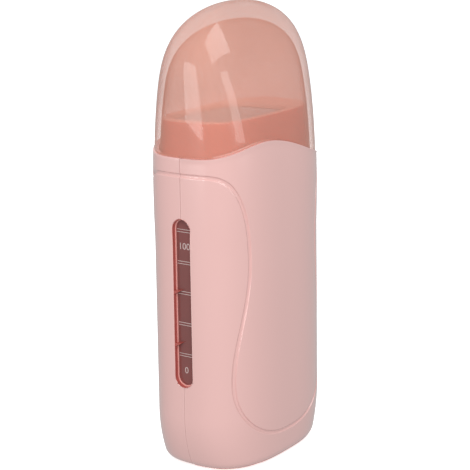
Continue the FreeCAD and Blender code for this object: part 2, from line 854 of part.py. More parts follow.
def base_shape():
    """The bottom cover: a flange under the shells' edge and a plug inside it."""
    low, seat = value("foot_proud"), SHELL_LOW
    flange = form_solid(value("flange_inset"), low, seat)
    outline = section(seat, WALL + value("plug_gap"))
    plug = Part.Face(outline).extrude(Vector(0, 0, value("plug_thick")))
    up = Vector(0, 0, 1)
    tools = []
    for x, y in foot_places():
        tools.append(drum(x, y, 0, value("foot_radius + foot_gap"), value("foot_proud + foot_recess"), up))
    for side in (-1, 1):
        y = side * value("base_boss_place")
        tools.append(drum(WELL_X, y, 0, value("screw_radius + screw_hole_gap + 0.15"), seat + 5, up))
        head = value("screw_head_radius + screw_recess_gap")
        tools.append(drum(WELL_X, y, 0, head, low + value("base_head_depth"), up))
    return flange.fuse(plug).removeSplitter().cut(tools)


def foot_places():
    x, y = value("foot_place_x"), value("foot_place_y")
    return [(side * x, end * y) for side in (-1, 1) for end in (-1, 1)]


solid_feature("base_plate", base_shape())

feet = []
for side in (-1, 1):
    for end in (-1, 1):
        feet.append(rod("foot", f"{side} * foot_place_x", f"{end} * foot_place_y", "0",
                        "foot_radius", "foot_proud + foot_recess"))
keep("rubber_feet", group("rubber_feet", *feet))


# ---------------------------------------------------------------- cartridge well

carrier = new_body("well_carrier_body")
outline = new_sketch(carrier, "XY_Plane", "carrier_top - carrier_thick")
draw_round_rectangle(outline, WELL, "0", f"{SLEEVE_WIDE} + 2 * carrier_overhang",
                     f"{SLEEVE_DEEP} + 2 * carrier_overhang",
                     "well_corner + sleeve_wall + carrier_overhang")
pad(carrier, outline, "carrier_thick")
ring = new_sketch(carrier, "XY_Plane", "carrier_top")
draw_round_rectangle(ring, WELL, "0", f"{SLEEVE_WIDE} + 2 * carrier_overhang",
                     f"{SLEEVE_DEEP} + 2 * carrier_overhang",
                     "well_corner + sleeve_wall + carrier_overhang")
draw_round_rectangle(ring, WELL, "0", f"{SLEEVE_WIDE} + 2 * sleeve_gap",
                     f"{SLEEVE_DEEP} + 2 * sleeve_gap", "well_corner + sleeve_wall + sleeve_gap")
pad(carrier, ring, "carrier_rim")
well_floor = new_sketch(carrier, "XY_Plane", "carrier_top")
draw_round_rectangle(well_floor, WELL, "0", f"{WELL_WIDE} - 2 * sleeve_gap",
                     "well_depth - 2 * sleeve_gap", "well_corner - sleeve_gap")
pad(carrier, well_floor, "carrier_floor")
legs = new_sketch(carrier, "XY_Plane", PLUG_TOP)
for side in (-1, 1):
    for end in (-1, 1):
        draw_circle(legs, f"{WELL} + {side} * leg_place_x", f"{end} * leg_place_y", "leg_radius")
pad(carrier, legs, f"carrier_top - carrier_thick - {PLUG_TOP}")
keep("well_carrier", carrier)

sleeve = new_body("heating_sleeve_body")
tube = new_sketch(sleeve, "XY_Plane", "carrier_top")
draw_round_rectangle(tube, WELL, "0", SLEEVE_WIDE, SLEEVE_DEEP, "well_corner + sleeve_wall")
draw_round_rectangle(tube, WELL, "0", WELL_WIDE, "well_depth", "well_corner")
pad(sleeve, tube, f"{DECK_LOW} - sleeve_gap - carrier_top")
view_slot = new_sketch(sleeve, "YZ_Plane", WELL)
draw_round_rectangle(view_slot, "0", "(slot_high + slot_low + sleeve_slot_rise) / 2",
                     "sleeve_slot_width", "slot_high - slot_low - sleeve_slot_rise",
                     "sleeve_slot_width / 2 - 0.6")
pocket(sleeve, view_slot, WELL_WIDE)
keep("heating_sleeve", sleeve)

for label, face in (("heater_front", f"{SLEEVE_DEEP} / 2"),
                    ("heater_rear", f"-({SLEEVE_DEEP} / 2 + heater_thick)")):
    heater = new_body(label + "_body")
    plate = new_sketch(heater, "XZ_Plane", face)
    top, half = f"({HEATER_LOW} + heater_height)", "heater_width / 2"
    left, right = f"{WELL} - heater_tab_place", f"{WELL} + heater_tab_place"
    draw_polygon(plate, [
        (f"{WELL} - {half}", HEATER_LOW), (f"{WELL} + {half}", HEATER_LOW),
        (f"{WELL} + {half}", top), (f"{right} + 2", top),
        (f"{right} + 2", f"{top} + heater_tab"), (f"{right} - 2", f"{top} + heater_tab"),
        (f"{right} - 2", top), (f"{left} + 2", top),
        (f"{left} + 2", f"{top} + heater_tab"), (f"{left} - 2", f"{top} + heater_tab"),
        (f"{left} - 2", top), (f"{WELL} - {half}", top)])
    pad(heater, plate, "heater_thick")
    keep(label, heater)

BAND_WIDE = f"({SLEEVE_WIDE} + 2 * band_gap)"
BAND_DEEP = f"({SLEEVE_DEEP} + 2 * heater_thick + 2 * band_gap)"
BAND_SIDE = f"({WELL} + {BAND_WIDE} / 2)"
BAND_LOW = f"({HEATER_LOW} + band_inset)"
BAND_HIGH = f"({HEATER_LOW} + heater_height - band_drop)"
EAR_SCREW = f"({BAND_SIDE} + band_thick + clamp_screw_place)"
clamp_screws = []
for label, low in (("clamp_band_lower", BAND_LOW), ("clamp_band_upper", BAND_HIGH)):
    band = new_body(label + "_body")
    loop = new_sketch(band, "XY_Plane", low)
    corner = "well_corner + sleeve_wall + heater_thick"
    draw_round_rectangle(loop, WELL, "0", f"{BAND_WIDE} + 2 * band_thick",
                         f"{BAND_DEEP} + 2 * band_thick", f"{corner} + band_thick")
    draw_round_rectangle(loop, WELL, "0", BAND_WIDE, BAND_DEEP, corner)
    pad(band, loop, "band_height")
    split = new_sketch(band, "XY_Plane", f"{low} + band_height")
    draw_rectangle(split, BAND_SIDE, "0", "4 * band_thick", "ear_split")
    pocket(band, split, "band_height")
    ears = new_sketch(band, "XY_Plane", low)
    for side in (-1, 1):
        draw_rectangle(ears, f"{BAND_SIDE} + (ear_reach + band_thick) / 2",
                       f"{side} * (ear_split + band_thick) / 2",
                       "ear_reach + band_thick", "band_thick")
    pad(band, ears, "band_height")
    holes = new_sketch(band, "XZ_Plane")
    draw_circle(holes, EAR_SCREW, f"{low} + band_height / 2", "clamp_screw_radius + 0.1")
    pocket(band, holes, "ear_split + 4 * band_thick", symmetric=True)
    keep(label, band)
    middle = f"{low} + band_height / 2"
    ear = "(ear_split / 2 + band_thick)"
    shank = rod("clamp_shank", EAR_SCREW, f"-{ear}", middle, "clamp_screw_radius",
                f"2 * {ear} + clamp_nut + 0.6", ALONG_Y)
    head = rod("clamp_head", EAR_SCREW, f"-{ear} - clamp_head", middle, "clamp_head_radius",
               "clamp_head", ALONG_Y)
    nut = block("clamp_nut", EAR_SCREW, f"{ear} + clamp_nut / 2", f"{middle} - clamp_head_radius",
                "2 * clamp_head_radius", "clamp_nut", "2 * clamp_head_radius")
    clamp_screws.append(fused("clamp_screw", shank, head, nut))
keep("clamp_screws", group("clamp_screws", *clamp_screws))


# ---------------------------------------------------------------- heat control

disc = turned("thermostat_disc", [
    ("0", "0"), ("thermostat_radius", "0"), ("thermostat_radius", "thermostat_thick"),
    ("thermostat_cap_radius", "thermostat_thick"),
    ("thermostat_cap_radius", "thermostat_thick + thermostat_cap"),
    ("0", "thermostat_thick + thermostat_cap")])
put(disc, f"{SLEEVE_SIDE} + contact_gap", "0", "thermostat_height", ALONG_X)
blades = []
for side in (-1, 1):
    blades.append(block("thermostat_blade",
                        f"{SLEEVE_SIDE} + contact_gap + thermostat_thick + thermostat_cap"
                        " + thermostat_blade / 2 - 0.2", f"{side} * thermostat_blade_place",
                        "thermostat_height + thermostat_blade_rise",
                        "thermostat_blade + 0.4", "2.4", "terminal_thick"))
keep("thermostat", fused("thermostat", disc, *blades))

fuse_body = turned("thermal_fuse", [
    ("0", "-fuse_length / 2 - fuse_lead"), ("fuse_lead_radius", "-fuse_length / 2 - fuse_lead"),
    ("fuse_lead_radius", "-fuse_length / 2"), ("fuse_radius", "-fuse_length / 2"),
    ("fuse_radius", "fuse_length / 2 - fuse_radius"), ("fuse_lead_radius", "fuse_length / 2"),
    ("fuse_lead_radius", "fuse_length / 2 + fuse_lead"), ("0", "fuse_length / 2 + fuse_lead")])
put(fuse_body, f"{SLEEVE_SIDE} + contact_gap + fuse_radius", "0", "fuse_height", ALONG_Y)
keep("thermal_fuse", fuse_body)


# ---------------------------------------------------------------- power inlet

inlet = new_body("power_inlet_body")
core = new_sketch(inlet, "YZ_Plane", f"{INLET_FACE} - inlet_depth")
draw_round_rectangle(core, "0", "inlet_height", "inlet_width", "inlet_tall", "inlet_corner")
pad(inlet, core, "inlet_depth")
collar = new_sketch(inlet, "YZ_Plane", f"{INLET_FACE} - inlet_flange_place - inlet_flange_thick")
draw_round_rectangle(collar, "0", "inlet_height", "inlet_width + 2 * inlet_flange",
                     "inlet_tall + 2 * inlet_flange", "inlet_corner")
pad(inlet, collar, "inlet_flange_thick")
lobes = new_sketch(inlet, "YZ_Plane", INLET_FACE)
for side in (-1, 1):
    draw_circle(lobes, f"{side} * pin_spacing / 2", "inlet_height", "socket_round")
pocket(inlet, lobes, "socket_depth")
waist = new_sketch(inlet, "YZ_Plane", INLET_FACE)
draw_rectangle(waist, "0", "inlet_height", "pin_spacing", "socket_waist")
pocket(inlet, waist, "socket_depth")
pin_holes = new_sketch(inlet, "YZ_Plane", f"{INLET_FACE} - socket_depth")
for side in (-1, 1):
    draw_circle(pin_holes, f"{side} * pin_spacing / 2", "inlet_height", "pin_radius + hinge_gap")
pocket(inlet, pin_holes, "inlet_depth")
keep("power_inlet", inlet)

pins = []
for side in (-1, 1):
    pin = turned("inlet_pin", [
        ("0", "0"), ("pin_radius", "0"), ("pin_radius", "pin_tail + inlet_depth - pin_recess - 0.8"),
        ("pin_radius - 0.5", "pin_tail + inlet_depth - pin_recess"),
        ("0", "pin_tail + inlet_depth - pin_recess")])
    pins.append(put(pin, f"{INLET_FACE} - inlet_depth - pin_tail", f"{side} * pin_spacing / 2",
                    "inlet_height", ALONG_X))
keep("inlet_pins", group("inlet_pins", *pins))


# ---------------------------------------------------------------- rocker switch

PIVOT = f"({SWITCH_FACE} - rocker_pivot)"
housing = new_body("switch_housing_body")
core = new_sketch(housing, "YZ_Plane", f"{SWITCH_FACE} - switch_body_depth")
draw_rectangle(core, "0", "switch_height", "switch_body_width", "switch_body_tall")
pad(housing, core, "switch_body_depth - switch_flange_thick")
collar = new_sketch(housing, "YZ_Plane", f"{SWITCH_FACE} - switch_flange_thick")
draw_round_rectangle(collar, "0", "switch_height", "switch_flange_width", "switch_flange_tall", "0.8")
pad(housing, collar, "switch_flange_thick")
cavity = new_sketch(housing, "YZ_Plane", SWITCH_FACE)
draw_rectangle(cavity, "0", "switch_height", "rocker_width + 2 * rocker_side_gap",
               "2 * (rocker_half + rocker_end_gap)")
pocket(housing, cavity, "switch_body_depth - switch_floor")
bearing = new_sketch(housing, "XZ_Plane")
draw_circle(bearing, PIVOT, "switch_height", "trunnion_radius + hinge_gap")
pocket(housing, bearing, "rocker_width + 2 * trunnion_length + 0.2", symmetric=True)
keep("switch_housing", housing)

rocker = new_body("switch_rocker_body")
profile = new_sketch(rocker, "XZ_Plane")
draw_polygon(profile, [
    ("rocker_end", "rocker_half"), ("rocker_valley", "0"), ("rocker_end", "-rocker_half"),
    ("0.4", "-rocker_half"), ("-rocker_bottom * 0.6", "-rocker_bottom * 0.5"),
    ("-rocker_bottom", "0"), ("-rocker_bottom * 0.6", "rocker_bottom * 0.5"),
    ("0.4", "rocker_half")])
pad(rocker, profile, "rocker_width", symmetric=True)
trunnions = new_sketch(rocker, "XZ_Plane")
draw_circle(trunnions, "0", "0", "trunnion_radius")
pad(rocker, trunnions, "rocker_width + 2 * trunnion_length", symmetric=True)
put(rocker, PIVOT, "0", "switch_height", FreeCAD.Rotation(Vector(0, 1, 0), value("rocker_tilt")))
bind(rocker, Placement__Rotation__Angle="rocker_tilt")
keep("switch_rocker", rocker)

blades = []
for side in (-1, 1):
    blades.append(block("switch_blade", f"{SWITCH_FACE} - switch_body_depth - terminal_length / 2", "0",
                        f"switch_height + {side} * terminal_spacing / 2 - terminal_thick / 2",
                        "terminal_length", "terminal_width", "terminal_thick"))
keep("switch_terminals", group("switch_terminals", *blades))


# ---------------------------------------------------------------- indicator lamp

LENS_LONG = f"({LENS_FACE} - {LENS_BACK})"
lens = turned("indicator_lens", [
    ("0", "0"), ("lens_flange_radius", "0"), ("lens_flange_radius", "lens_flange"),
    ("lens_radius", "lens_flange"), ("lens_radius", f"{LENS_LONG} - 0.6"),
    ("lens_radius - 0.8", f"{LENS_LONG}"), ("0", f"{LENS_LONG}")])
put(lens, LENS_BACK, "0", LAMP_HEIGHT, ALONG_X)
keep("indicator_lens", lens)

board = block("lamp_board", f"{BOARD_BACK} + board_thick / 2", "0",
              f"{LAMP_HEIGHT} - board_tall / 2", "board_thick", "board_width", "board_tall")
keep("lamp_board", board)

lamp = turned("indicator_lamp", [
    ("0", "0"), ("lamp_collar_radius", "0"), ("lamp_collar_radius", "lamp_collar"),
    ("lamp_radius", "lamp_collar"), ("lamp_radius", "lamp_length - lamp_radius"),
    ("lamp_radius * 0.8", "lamp_length - lamp_radius * 0.4"), ("lamp_radius * 0.4", "lamp_length"),
    ("0", "lamp_length")])
put(lamp, f"{BOARD_BACK} + board_thick", "0", LAMP_HEIGHT, ALONG_X)
keep("indicator_lamp", lamp)

resistor = turned("board_resistor", [
    ("0", "0"), ("resistor_radius", "0"), ("resistor_radius", "1"),
    ("resistor_radius * 0.8", "1.2"), ("resistor_radius * 0.8", "resistor_length - 1.2"),
    ("resistor_radius", "resistor_length - 1"), ("resistor_radius", "resistor_length"),
    ("0", "resistor_length")])
put(resistor, f"{BOARD_BACK} + board_thick + resistor_radius", "-resistor_length / 2",
    f"{LAMP_HEIGHT} - resistor_drop", ALONG_Y)
keep("board_resistor", resistor)


# ---------------------------------------------------------------- fasteners

def cross_screw(length):
    """A pan-head screw along Z: head above the seat, shank below, cross recess on top."""
    head = turned("screw_turn", [
        ("0", f"-({length})"), ("screw_radius * 0.5", f"-({length})"),
        ("screw_radius", f"-({length}) + 1"), ("screw_radius", "0"), ("screw_head_radius", "0"),
        ("screw_head_radius", "screw_head * 0.5"), ("screw_head_radius * 0.7", "screw_head"),
        ("0", "screw_head")])
    top = "screw_head - screw_slot_deep"
    one = block("screw_slot", "0", "0", top, "screw_head_radius", "screw_slot", "screw_head")
    two = block("screw_slot", "0", "0", top, "screw_slot", "screw_head_radius", "screw_head")
    return cut("screw", head, one, two)


side_screws = []
for x, z in (("boss_side_place", "boss_side_high"), ("boss_side_place", "boss_side_low"),
             ("boss_foot_right", "boss_foot_height"), ("-boss_foot_left", "boss_foot_height")):
    item = cross_screw("screw_reach + screw_seat")
    side_screws.append(put(item, x, "screw_seat", z, ALONG_Y))
keep("shell_screws", group("shell_screws", *side_screws))

bottom_screws = []
for side in (-1, 1):
    item = cross_screw("base_screw_length")
    bottom_screws.append(put(item, WELL, f"{side} * base_boss_place", "foot_proud + base_head_depth",
                             FreeCAD.Rotation(Vector(1, 0, 0), 180)))
keep("base_screws", group("base_screws", *bottom_screws))


# ---------------------------------------------------------------- checks and export

doc.recompute()
for item in doc.Objects:
    if "Invalid" in item.State or "Error" in item.State:
        raise RuntimeError(f"{item.Name} did not recompute: {item.State}")

os.makedirs("parts", exist_ok=True)
for label, item in parts.items():
    shape = item.Shape
    if shape.isNull() or not shape.isValid() or not shape.Solids:
        raise RuntimeError(f"{label} has no valid solid")
    shape.exportStep(f"parts/{label}.step")
    print(f"{label}: {len(shape.Solids)} solid(s), {shape.Volume:.0f} mm3")
print(f"{len(parts)} pieces")
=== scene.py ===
# %% [markdown]
# # Dressing a roll-on wax heater
#
# A roll-on wax heater is a hand-held moulded case that warms one wax cartridge. Its solid
# model says where every piece is. This lesson gives those pieces the smooth skins, the small
# edge radii and the finishes that a solid model lacks. All lengths in the formulas are in
# millimetres, and they become metres when a point of a mesh is placed.

# %% Load the solid model as a fixed frame
import math

import bmesh
import bpy
import numpy as np
from mathutils import Matrix, Vector
from mathutils.kdtree import KDTree


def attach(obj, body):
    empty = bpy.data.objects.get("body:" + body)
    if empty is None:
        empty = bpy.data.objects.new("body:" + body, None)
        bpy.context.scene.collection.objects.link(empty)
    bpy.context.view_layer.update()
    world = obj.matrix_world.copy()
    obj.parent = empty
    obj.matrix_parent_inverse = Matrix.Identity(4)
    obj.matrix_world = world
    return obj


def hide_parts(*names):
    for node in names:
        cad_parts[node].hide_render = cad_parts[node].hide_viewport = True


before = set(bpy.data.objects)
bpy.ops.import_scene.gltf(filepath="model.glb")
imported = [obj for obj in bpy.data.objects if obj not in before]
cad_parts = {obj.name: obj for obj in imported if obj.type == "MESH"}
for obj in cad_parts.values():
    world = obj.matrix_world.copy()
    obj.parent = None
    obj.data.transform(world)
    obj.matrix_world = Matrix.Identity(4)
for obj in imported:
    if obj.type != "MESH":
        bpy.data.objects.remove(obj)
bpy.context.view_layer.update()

MM = 0.001

# %% [markdown]
# ## The camera
#
# A long lens far away keeps the upright edges nearly parallel, as product pictures do. The
# camera's own axes are worked out from its heading, its height angle and a slight roll, and
# written as one matrix, so no constraint or aiming object is needed.

# %% Place the camera
HEADING = math.radians(-55.295)
LIFT = math.radians(13.71)
ROLL = math.radians(-0.847)
DISTANCE = 668.8
AIM = Vector((0.0, 0.0, 96.997))
SIDE_STEP = -1.242
LENS, SENSOR_WIDTH = 116.2, 36.0
SIGHT_END = 20.0


def added(name, data):
    """A new object of the scene that holds a mesh, a text, a light or a camera."""
    holder = bpy.data.objects.new(name, data)
    bpy.context.scene.collection.objects.link(holder)
    return holder


def camera_axes():
    """Right, up and back directions of the camera, before its place is applied."""
    back = Vector((math.sin(HEADING) * math.cos(LIFT), -math.cos(HEADING) * math.cos(LIFT),
                   math.sin(LIFT)))
    level = Vector((math.cos(HEADING), math.sin(HEADING), 0.0))
    above = back.cross(level)
    right = level * math.cos(ROLL) + above * math.sin(ROLL)
    up = above * math.cos(ROLL) - level * math.sin(ROLL)
    return level, right, up, back


level, right, up, back = camera_axes()
lens = bpy.data.cameras.new("camera")
lens.lens = LENS
lens.sensor_width = SENSOR_WIDTH
lens.clip_end = SIGHT_END
camera = added("camera", lens)
turn = Matrix((right, up, back)).transposed().to_4x4()
stand = (AIM + level * SIDE_STEP + back * DISTANCE) * MM
camera.matrix_world = Matrix.Translation(stand) @ turn
bpy.context.scene.camera = camera
print("camera at", [round(c, 3) for c in camera.location])

# %% [markdown]
# ## The form that everything follows
#
# Case, cap and collar are moulded to one form. Each level section is a superellipse, a shape
# between an ellipse and a rectangle, so the broad sides are nearly flat and the corners are
# full. The form pulls in at the foot, tapers in thickness and rounds over to the crown. The
# same numbers as in the solid model are used here, so the skins lie exactly on the solids.

# %% The numbers of the form
TOP = 200.0
SHOULDER = 150.0
WIDTH = (84.5, 83.2)
DEPTH = (53.5, 53.2)
TOE_HEIGHT, TOE_WIDTH, TOE_DEPTH = 24.0, 5.6, 1.0
BOTTOM_ROUND = 4.2
CROWN_START, CROWN_POWER, CROWN_ROOT = 162.6, 3.34, 2.09
TAPER_START, TAPER_POWER, TAPER_ROOT = 100.0, 2.54, 1.72
SQUARENESS, CROWN_SQUARENESS = 2.77, 3.5
WALL = 2.4
SHELL_FOOT = 1.6


def half_sizes(height, inset=0.0, top=TOP):
    """Half width, half depth and squareness of the level section at a height."""
    share = height / SHOULDER
    toe = max(0.0, 1 - height / TOE_HEIGHT) ** 2
    pull = inset
    if height < BOTTOM_ROUND:
        pull += BOTTOM_ROUND - math.sqrt(BOTTOM_ROUND ** 2 - (BOTTOM_ROUND - height) ** 2)
    half_width = (WIDTH[0] * (1 - share) + WIDTH[1] * share) / 2 - TOE_WIDTH * toe - pull
    half_depth = (DEPTH[0] * (1 - share) + DEPTH[1] * share) / 2 - TOE_DEPTH * toe - pull
    power = SQUARENESS
    crown = min(1.0, (height - CROWN_START) / (top - CROWN_START))
    if crown > 0:
        half_width *= (1 - crown ** CROWN_POWER) ** (1 / CROWN_ROOT)
    taper = min(1.0, (height - TAPER_START) / (top - TAPER_START))
    if taper > 0:
        half_depth *= (1 - taper ** TAPER_POWER) ** (1 / TAPER_ROOT)
        power += (CROWN_SQUARENESS - power) * taper
    return half_width, half_depth, power


def on_form(angle, height, inset=0.0, side=1, top=TOP):
    """A point of the form: angle 0 is its -X edge, pi its +X edge, side +1 the rear."""
    half_width, half_depth, power = half_sizes(height, inset, top)
    along, through = math.cos(angle), abs(math.sin(angle))
    x = -math.copysign(abs(along) ** (2 / power), along) * half_width
    return Vector((x, side * through ** (2 / power) * half_depth, height))


# %% A tape measure round the form
REFERENCE_HEIGHT = 60.0
TAPE_MARKS = 2401
TAPE_ANGLES = np.linspace(0.0, math.pi, TAPE_MARKS)
tape_points = np.array([on_form(a, REFERENCE_HEIGHT) for a in TAPE_ANGLES])
TAPE_LENGTHS = np.concatenate(([0.0], np.cumsum(
    np.linalg.norm(np.diff(tape_points, axis=0), axis=1))))
HALF_GIRTH = float(TAPE_LENGTHS[-1])


def angle_at(length):
    """The angle reached after a length of tape from the -X edge."""
    return float(np.interp(length, TAPE_LENGTHS, TAPE_ANGLES))


def length_at(angle):
    return float(np.interp(angle, TAPE_ANGLES, TAPE_LENGTHS))


print("half girth of the case:", round(HALF_GIRTH, 2), "mm")

# %% [markdown]
# ## The wave of the rim and the framed panel
#
# The case ends in a wave that rises towards the middle and falls to the right. A smooth
# curve through five points gives it, level at both ends. A shallow groove frames a panel on
# each broad side: round at the bottom, drawn in at the waist, and swung out to the edge
# under the rim, where it runs round the narrow side.

# %% The rim's wave
RIM_X = np.array([-44.25, -33.0, -13.0, 13.8, 44.25])
RIM_Z = np.array([138.1, 140.0, 143.1, 137.1, 130.0])


def smooth_slopes(x, z):
    """Slopes of the smoothest curve through the points, level at both ends."""
    gaps = np.diff(x)
    rises = np.diff(z) / gaps
    system, goal = np.eye(len(x)), np.zeros(len(x))
    for k in range(1, len(x) - 1):
        system[k, k - 1:k + 2] = gaps[k], 2 * (gaps[k - 1] + gaps[k]), gaps[k - 1]
        goal[k] = 3 * (rises[k - 1] * gaps[k] + rises[k] * gaps[k - 1])
    return np.linalg.solve(system, goal)


RIM_SLOPES = smooth_slopes(RIM_X, RIM_Z)


def rim_height(x):
    k = int(np.clip(np.searchsorted(RIM_X, x) - 1, 0, len(RIM_X) - 2))
    gap = RIM_X[k + 1] - RIM_X[k]
    t = (x - RIM_X[k]) / gap
    near = RIM_Z[k] * (1 + 2 * t) + RIM_SLOPES[k] * gap * t
    far = RIM_Z[k + 1] * (3 - 2 * t) - RIM_SLOPES[k + 1] * gap * (1 - t)
    return float(near * (1 - t) ** 2 + far * t * t)


print("rim heights:", [round(rim_height(x), 1) for x in (-42, -13, 14, 42)])

# %% The panel's groove
GROOVE_DEPTH, GROOVE_FLAT, GROOVE_HALF = 0.62, 0.35, 1.0
PANEL_BOTTOM, PANEL_BOTTOM_POWER = 12.9, 2.3
BELLY, BELLY_HEIGHT = 33.7, 41.0
WAIST, WAIST_HEIGHT = 25.9, 93.5
PANEL_SHOULDER, PANEL_SHOULDER_POWER = 131.0, 2.12
CURVE_POINTS, STRAIGHT_POINTS = 900, 700
LINE_END, LINE_STEP = 46, 0.05


def panel_half_width(height):
    """Half width of the framed panel at a height."""
    if height <= BELLY_HEIGHT:
        drop = (BELLY_HEIGHT - height) / (BELLY_HEIGHT - PANEL_BOTTOM)
        return BELLY * max(0.0, 1 - drop ** PANEL_BOTTOM_POWER) ** (1 / PANEL_BOTTOM_POWER)
    if height <= WAIST_HEIGHT:
        swing = math.cos(math.pi * (height - BELLY_HEIGHT) / (WAIST_HEIGHT - BELLY_HEIGHT))
        return (BELLY + WAIST) / 2 + (BELLY - WAIST) / 2 * swing
    rise = (height - WAIST_HEIGHT) / (PANEL_SHOULDER - WAIST_HEIGHT)
    reach = max(0.0, 1 - rise ** PANEL_SHOULDER_POWER) ** (1 / PANEL_SHOULDER_POWER)
    return WIDTH[1] / 2 - (WIDTH[1] / 2 - WAIST) * reach


def panel_line():
    """Points close together along the groove's centre line, on the +X half."""
    turns = np.linspace(0, math.pi / 2, CURVE_POINTS)
    low = [BELLY_HEIGHT - (BELLY_HEIGHT - PANEL_BOTTOM) * math.cos(t) for t in turns]
    middle = list(np.linspace(BELLY_HEIGHT, WAIST_HEIGHT, STRAIGHT_POINTS))
    high = [WAIST_HEIGHT + (PANEL_SHOULDER - WAIST_HEIGHT) * math.sin(t) for t in turns]
    points = [(panel_half_width(z), z) for z in low + middle + high]
    level_end = np.arange(WIDTH[1] / 2, LINE_END, LINE_STEP)
    return points + [(x, PANEL_SHOULDER) for x in level_end]


groove_points = panel_line()
groove_tree = KDTree(len(groove_points))
for index, (x, z) in enumerate(groove_points):
    groove_tree.insert((x, 0.0, z), index)
groove_tree.balance()


def groove_distance(point):
    return groove_tree.find((abs(point.x), 0.0, point.z))[2]


def eased(share):
    share = min(1.0, max(0.0, share))
    return share * share * (3 - 2 * share)


def groove_sink(point):
    """How deep the groove lies at a point of the form."""
    share = (GROOVE_HALF - groove_distance(point)) / (GROOVE_HALF - GROOVE_FLAT)
    return GROOVE_DEPTH * eased(share)


print("groove line:", len(groove_points), "points")

# %% [markdown]
# ## A sheet that is cut flat and then wrapped
#
# A moulded wall with windows in it is easiest to make as a tailor makes a sleeve: draw it
# flat, cut the openings while it is flat, give it thickness, and only then wrap it round the
# form. Across the flat sheet runs the length of tape round the case, and up it runs the
# height. Every corner of every cut then lies exactly on the form.

# %% Helpers for the flat sheet
OVERLAP, CUT_NEAR, SHORTEST = 1e-4, 1e-5, 1e-6


def flat_sheet(columns, heights):
    """A flat grid, as wide as half the girth, with its rows at the given heights."""
    bm = bmesh.new()
    rows = len(heights) - 1
    bmesh.ops.create_grid(bm, x_segments=columns, y_segments=rows, size=1.0)
    for vert in bm.verts:
        row = round((vert.co.y + 1) / 2 * rows)
        vert.co = Vector(((vert.co.x + 1) / 2 * HALF_GIRTH, heights[row], 0.0))
    return bm


def round_outline(wide, tall, corner, middle, steps=7):
    """Points round a rectangle with round corners, counter-clockwise, across and up."""
    points = []
    for quarter in range(4):
        start = quarter * math.pi / 2
        across = (wide / 2 - corner) * (1 if quarter in (0, 3) else -1)
        rise = (tall / 2 - corner) * (1 if quarter in (0, 1) else -1)
        for step in range(steps + 1):
            turn = start + step / steps * math.pi / 2
            points.append((across + corner * math.cos(turn),
                           middle + rise + corner * math.sin(turn)))
    return points


def on_narrow_side(outline, end, side):
    """Flat places of an outline on the -X (end 0) or +X (end 1) narrow side."""
    placed = []
    for across, height in outline:
        half_depth, power = half_sizes(height)[1:]
        angle = math.asin((abs(across) / half_depth) ** (power / 2))
        length = math.copysign(length_at(angle), across * side)
        placed.append(Vector((HALF_GIRTH - length if end else length, height, 0.0)))
    return placed


def on_broad_side(outline, x):
    """Flat places of an outline that is centred at x on a broad side."""
    placed = []
    for across, height in outline:
        half_width, _, power = half_sizes(height)
        share = (abs(x + across) / half_width) ** (power / 2)
        angle = math.acos(math.copysign(share, -(x + across)))
        placed.append(Vector((length_at(angle), height, 0.0)))
    return placed


def sides_of(outline):
    """Each side's start and its direction away from the outline's middle."""
    middle = sum(outline, Vector()) / len(outline)
    for start, end in zip(outline, outline[1:] + outline[:1]):
        along = end - start
        if along.length > SHORTEST:
            away = Vector((along.y, -along.x, 0.0)).normalized()
            yield start, away if away.dot(start - middle) > 0 else -away


def carve(bm, outline, remove=True):
    """Cuts a convex outline into the sheet, one straight side at a time."""
    low = Vector([min(p[k] for p in outline) for k in range(3)])
    high = Vector([max(p[k] for p in outline) for k in range(3)])
    inside = [f for f in bm.faces
              if all(max(v.co[k] for v in f.verts) > low[k] - OVERLAP
                     and min(v.co[k] for v in f.verts) < high[k] + OVERLAP for k in (0, 1))]
    for start, away in sides_of(outline):
        parts = dict.fromkeys(p for face in inside for p in (face, *face.edges, *face.verts))
        cut = bmesh.ops.bisect_plane(bm, geom=list(parts), dist=CUT_NEAR, plane_co=start,
                                     plane_no=away)["geom"]
        inside = [f for f in cut if isinstance(f, bmesh.types.BMFace)
                  and away.dot(f.calc_center_median() - start) < 0]
    if remove:
        bmesh.ops.delete(bm, geom=inside, context="FACES")
    return inside


print("flat sheet helpers are ready")

# %% [markdown]
# ## Thickness and fine detail
#
# The sheet gets its second layer by extruding it while it is still flat. The faces are
# marked with material numbers, 0 for the outside, 1 for the inside and 2 for the cut edges,
# so that later steps can find them. Only the faces beside the groove are divided, which
# keeps the mesh light on the plain areas and fine where the light breaks.

# %% Second layer and divisions
OUTSIDE, INSIDE, EDGE = 0, 1, 2
BETWEEN_LAYERS = -0.5
MERGE = 0.04


def extruded(bm, faces, rise, keep=True):
    """Extrudes faces by a number of layers and returns the new ones. Keep closes the bottom."""
    grown = bmesh.ops.extrude_face_region(bm, geom=list(faces), use_keep_orig=keep)["geom"]
    layer = [g for g in grown if isinstance(g, bmesh.types.BMVert)]
    bmesh.ops.translate(bm, verts=layer, vec=(0, 0, rise))
    return [g for g in grown if isinstance(g, bmesh.types.BMFace)]


def thickened(bm):
    """Turns the flat sheet into a slab one unit thick, with its faces marked."""
    bmesh.ops.remove_doubles(bm, verts=bm.verts, dist=MERGE)
    outer = list(bm.faces)
    inner = extruded(bm, outer, -1)
    for face in bm.faces:
        face.material_index = EDGE
    for face in outer:
        face.material_index = OUTSIDE
    for face in inner:
        face.material_index = INSIDE
    bmesh.ops.recalc_face_normals(bm, faces=bm.faces)


def turn_out(bm):
    """Makes the faces of a closed mesh point outwards."""
    if bm.calc_volume(signed=True) < 0:
        bmesh.ops.reverse_faces(bm, faces=bm.faces)


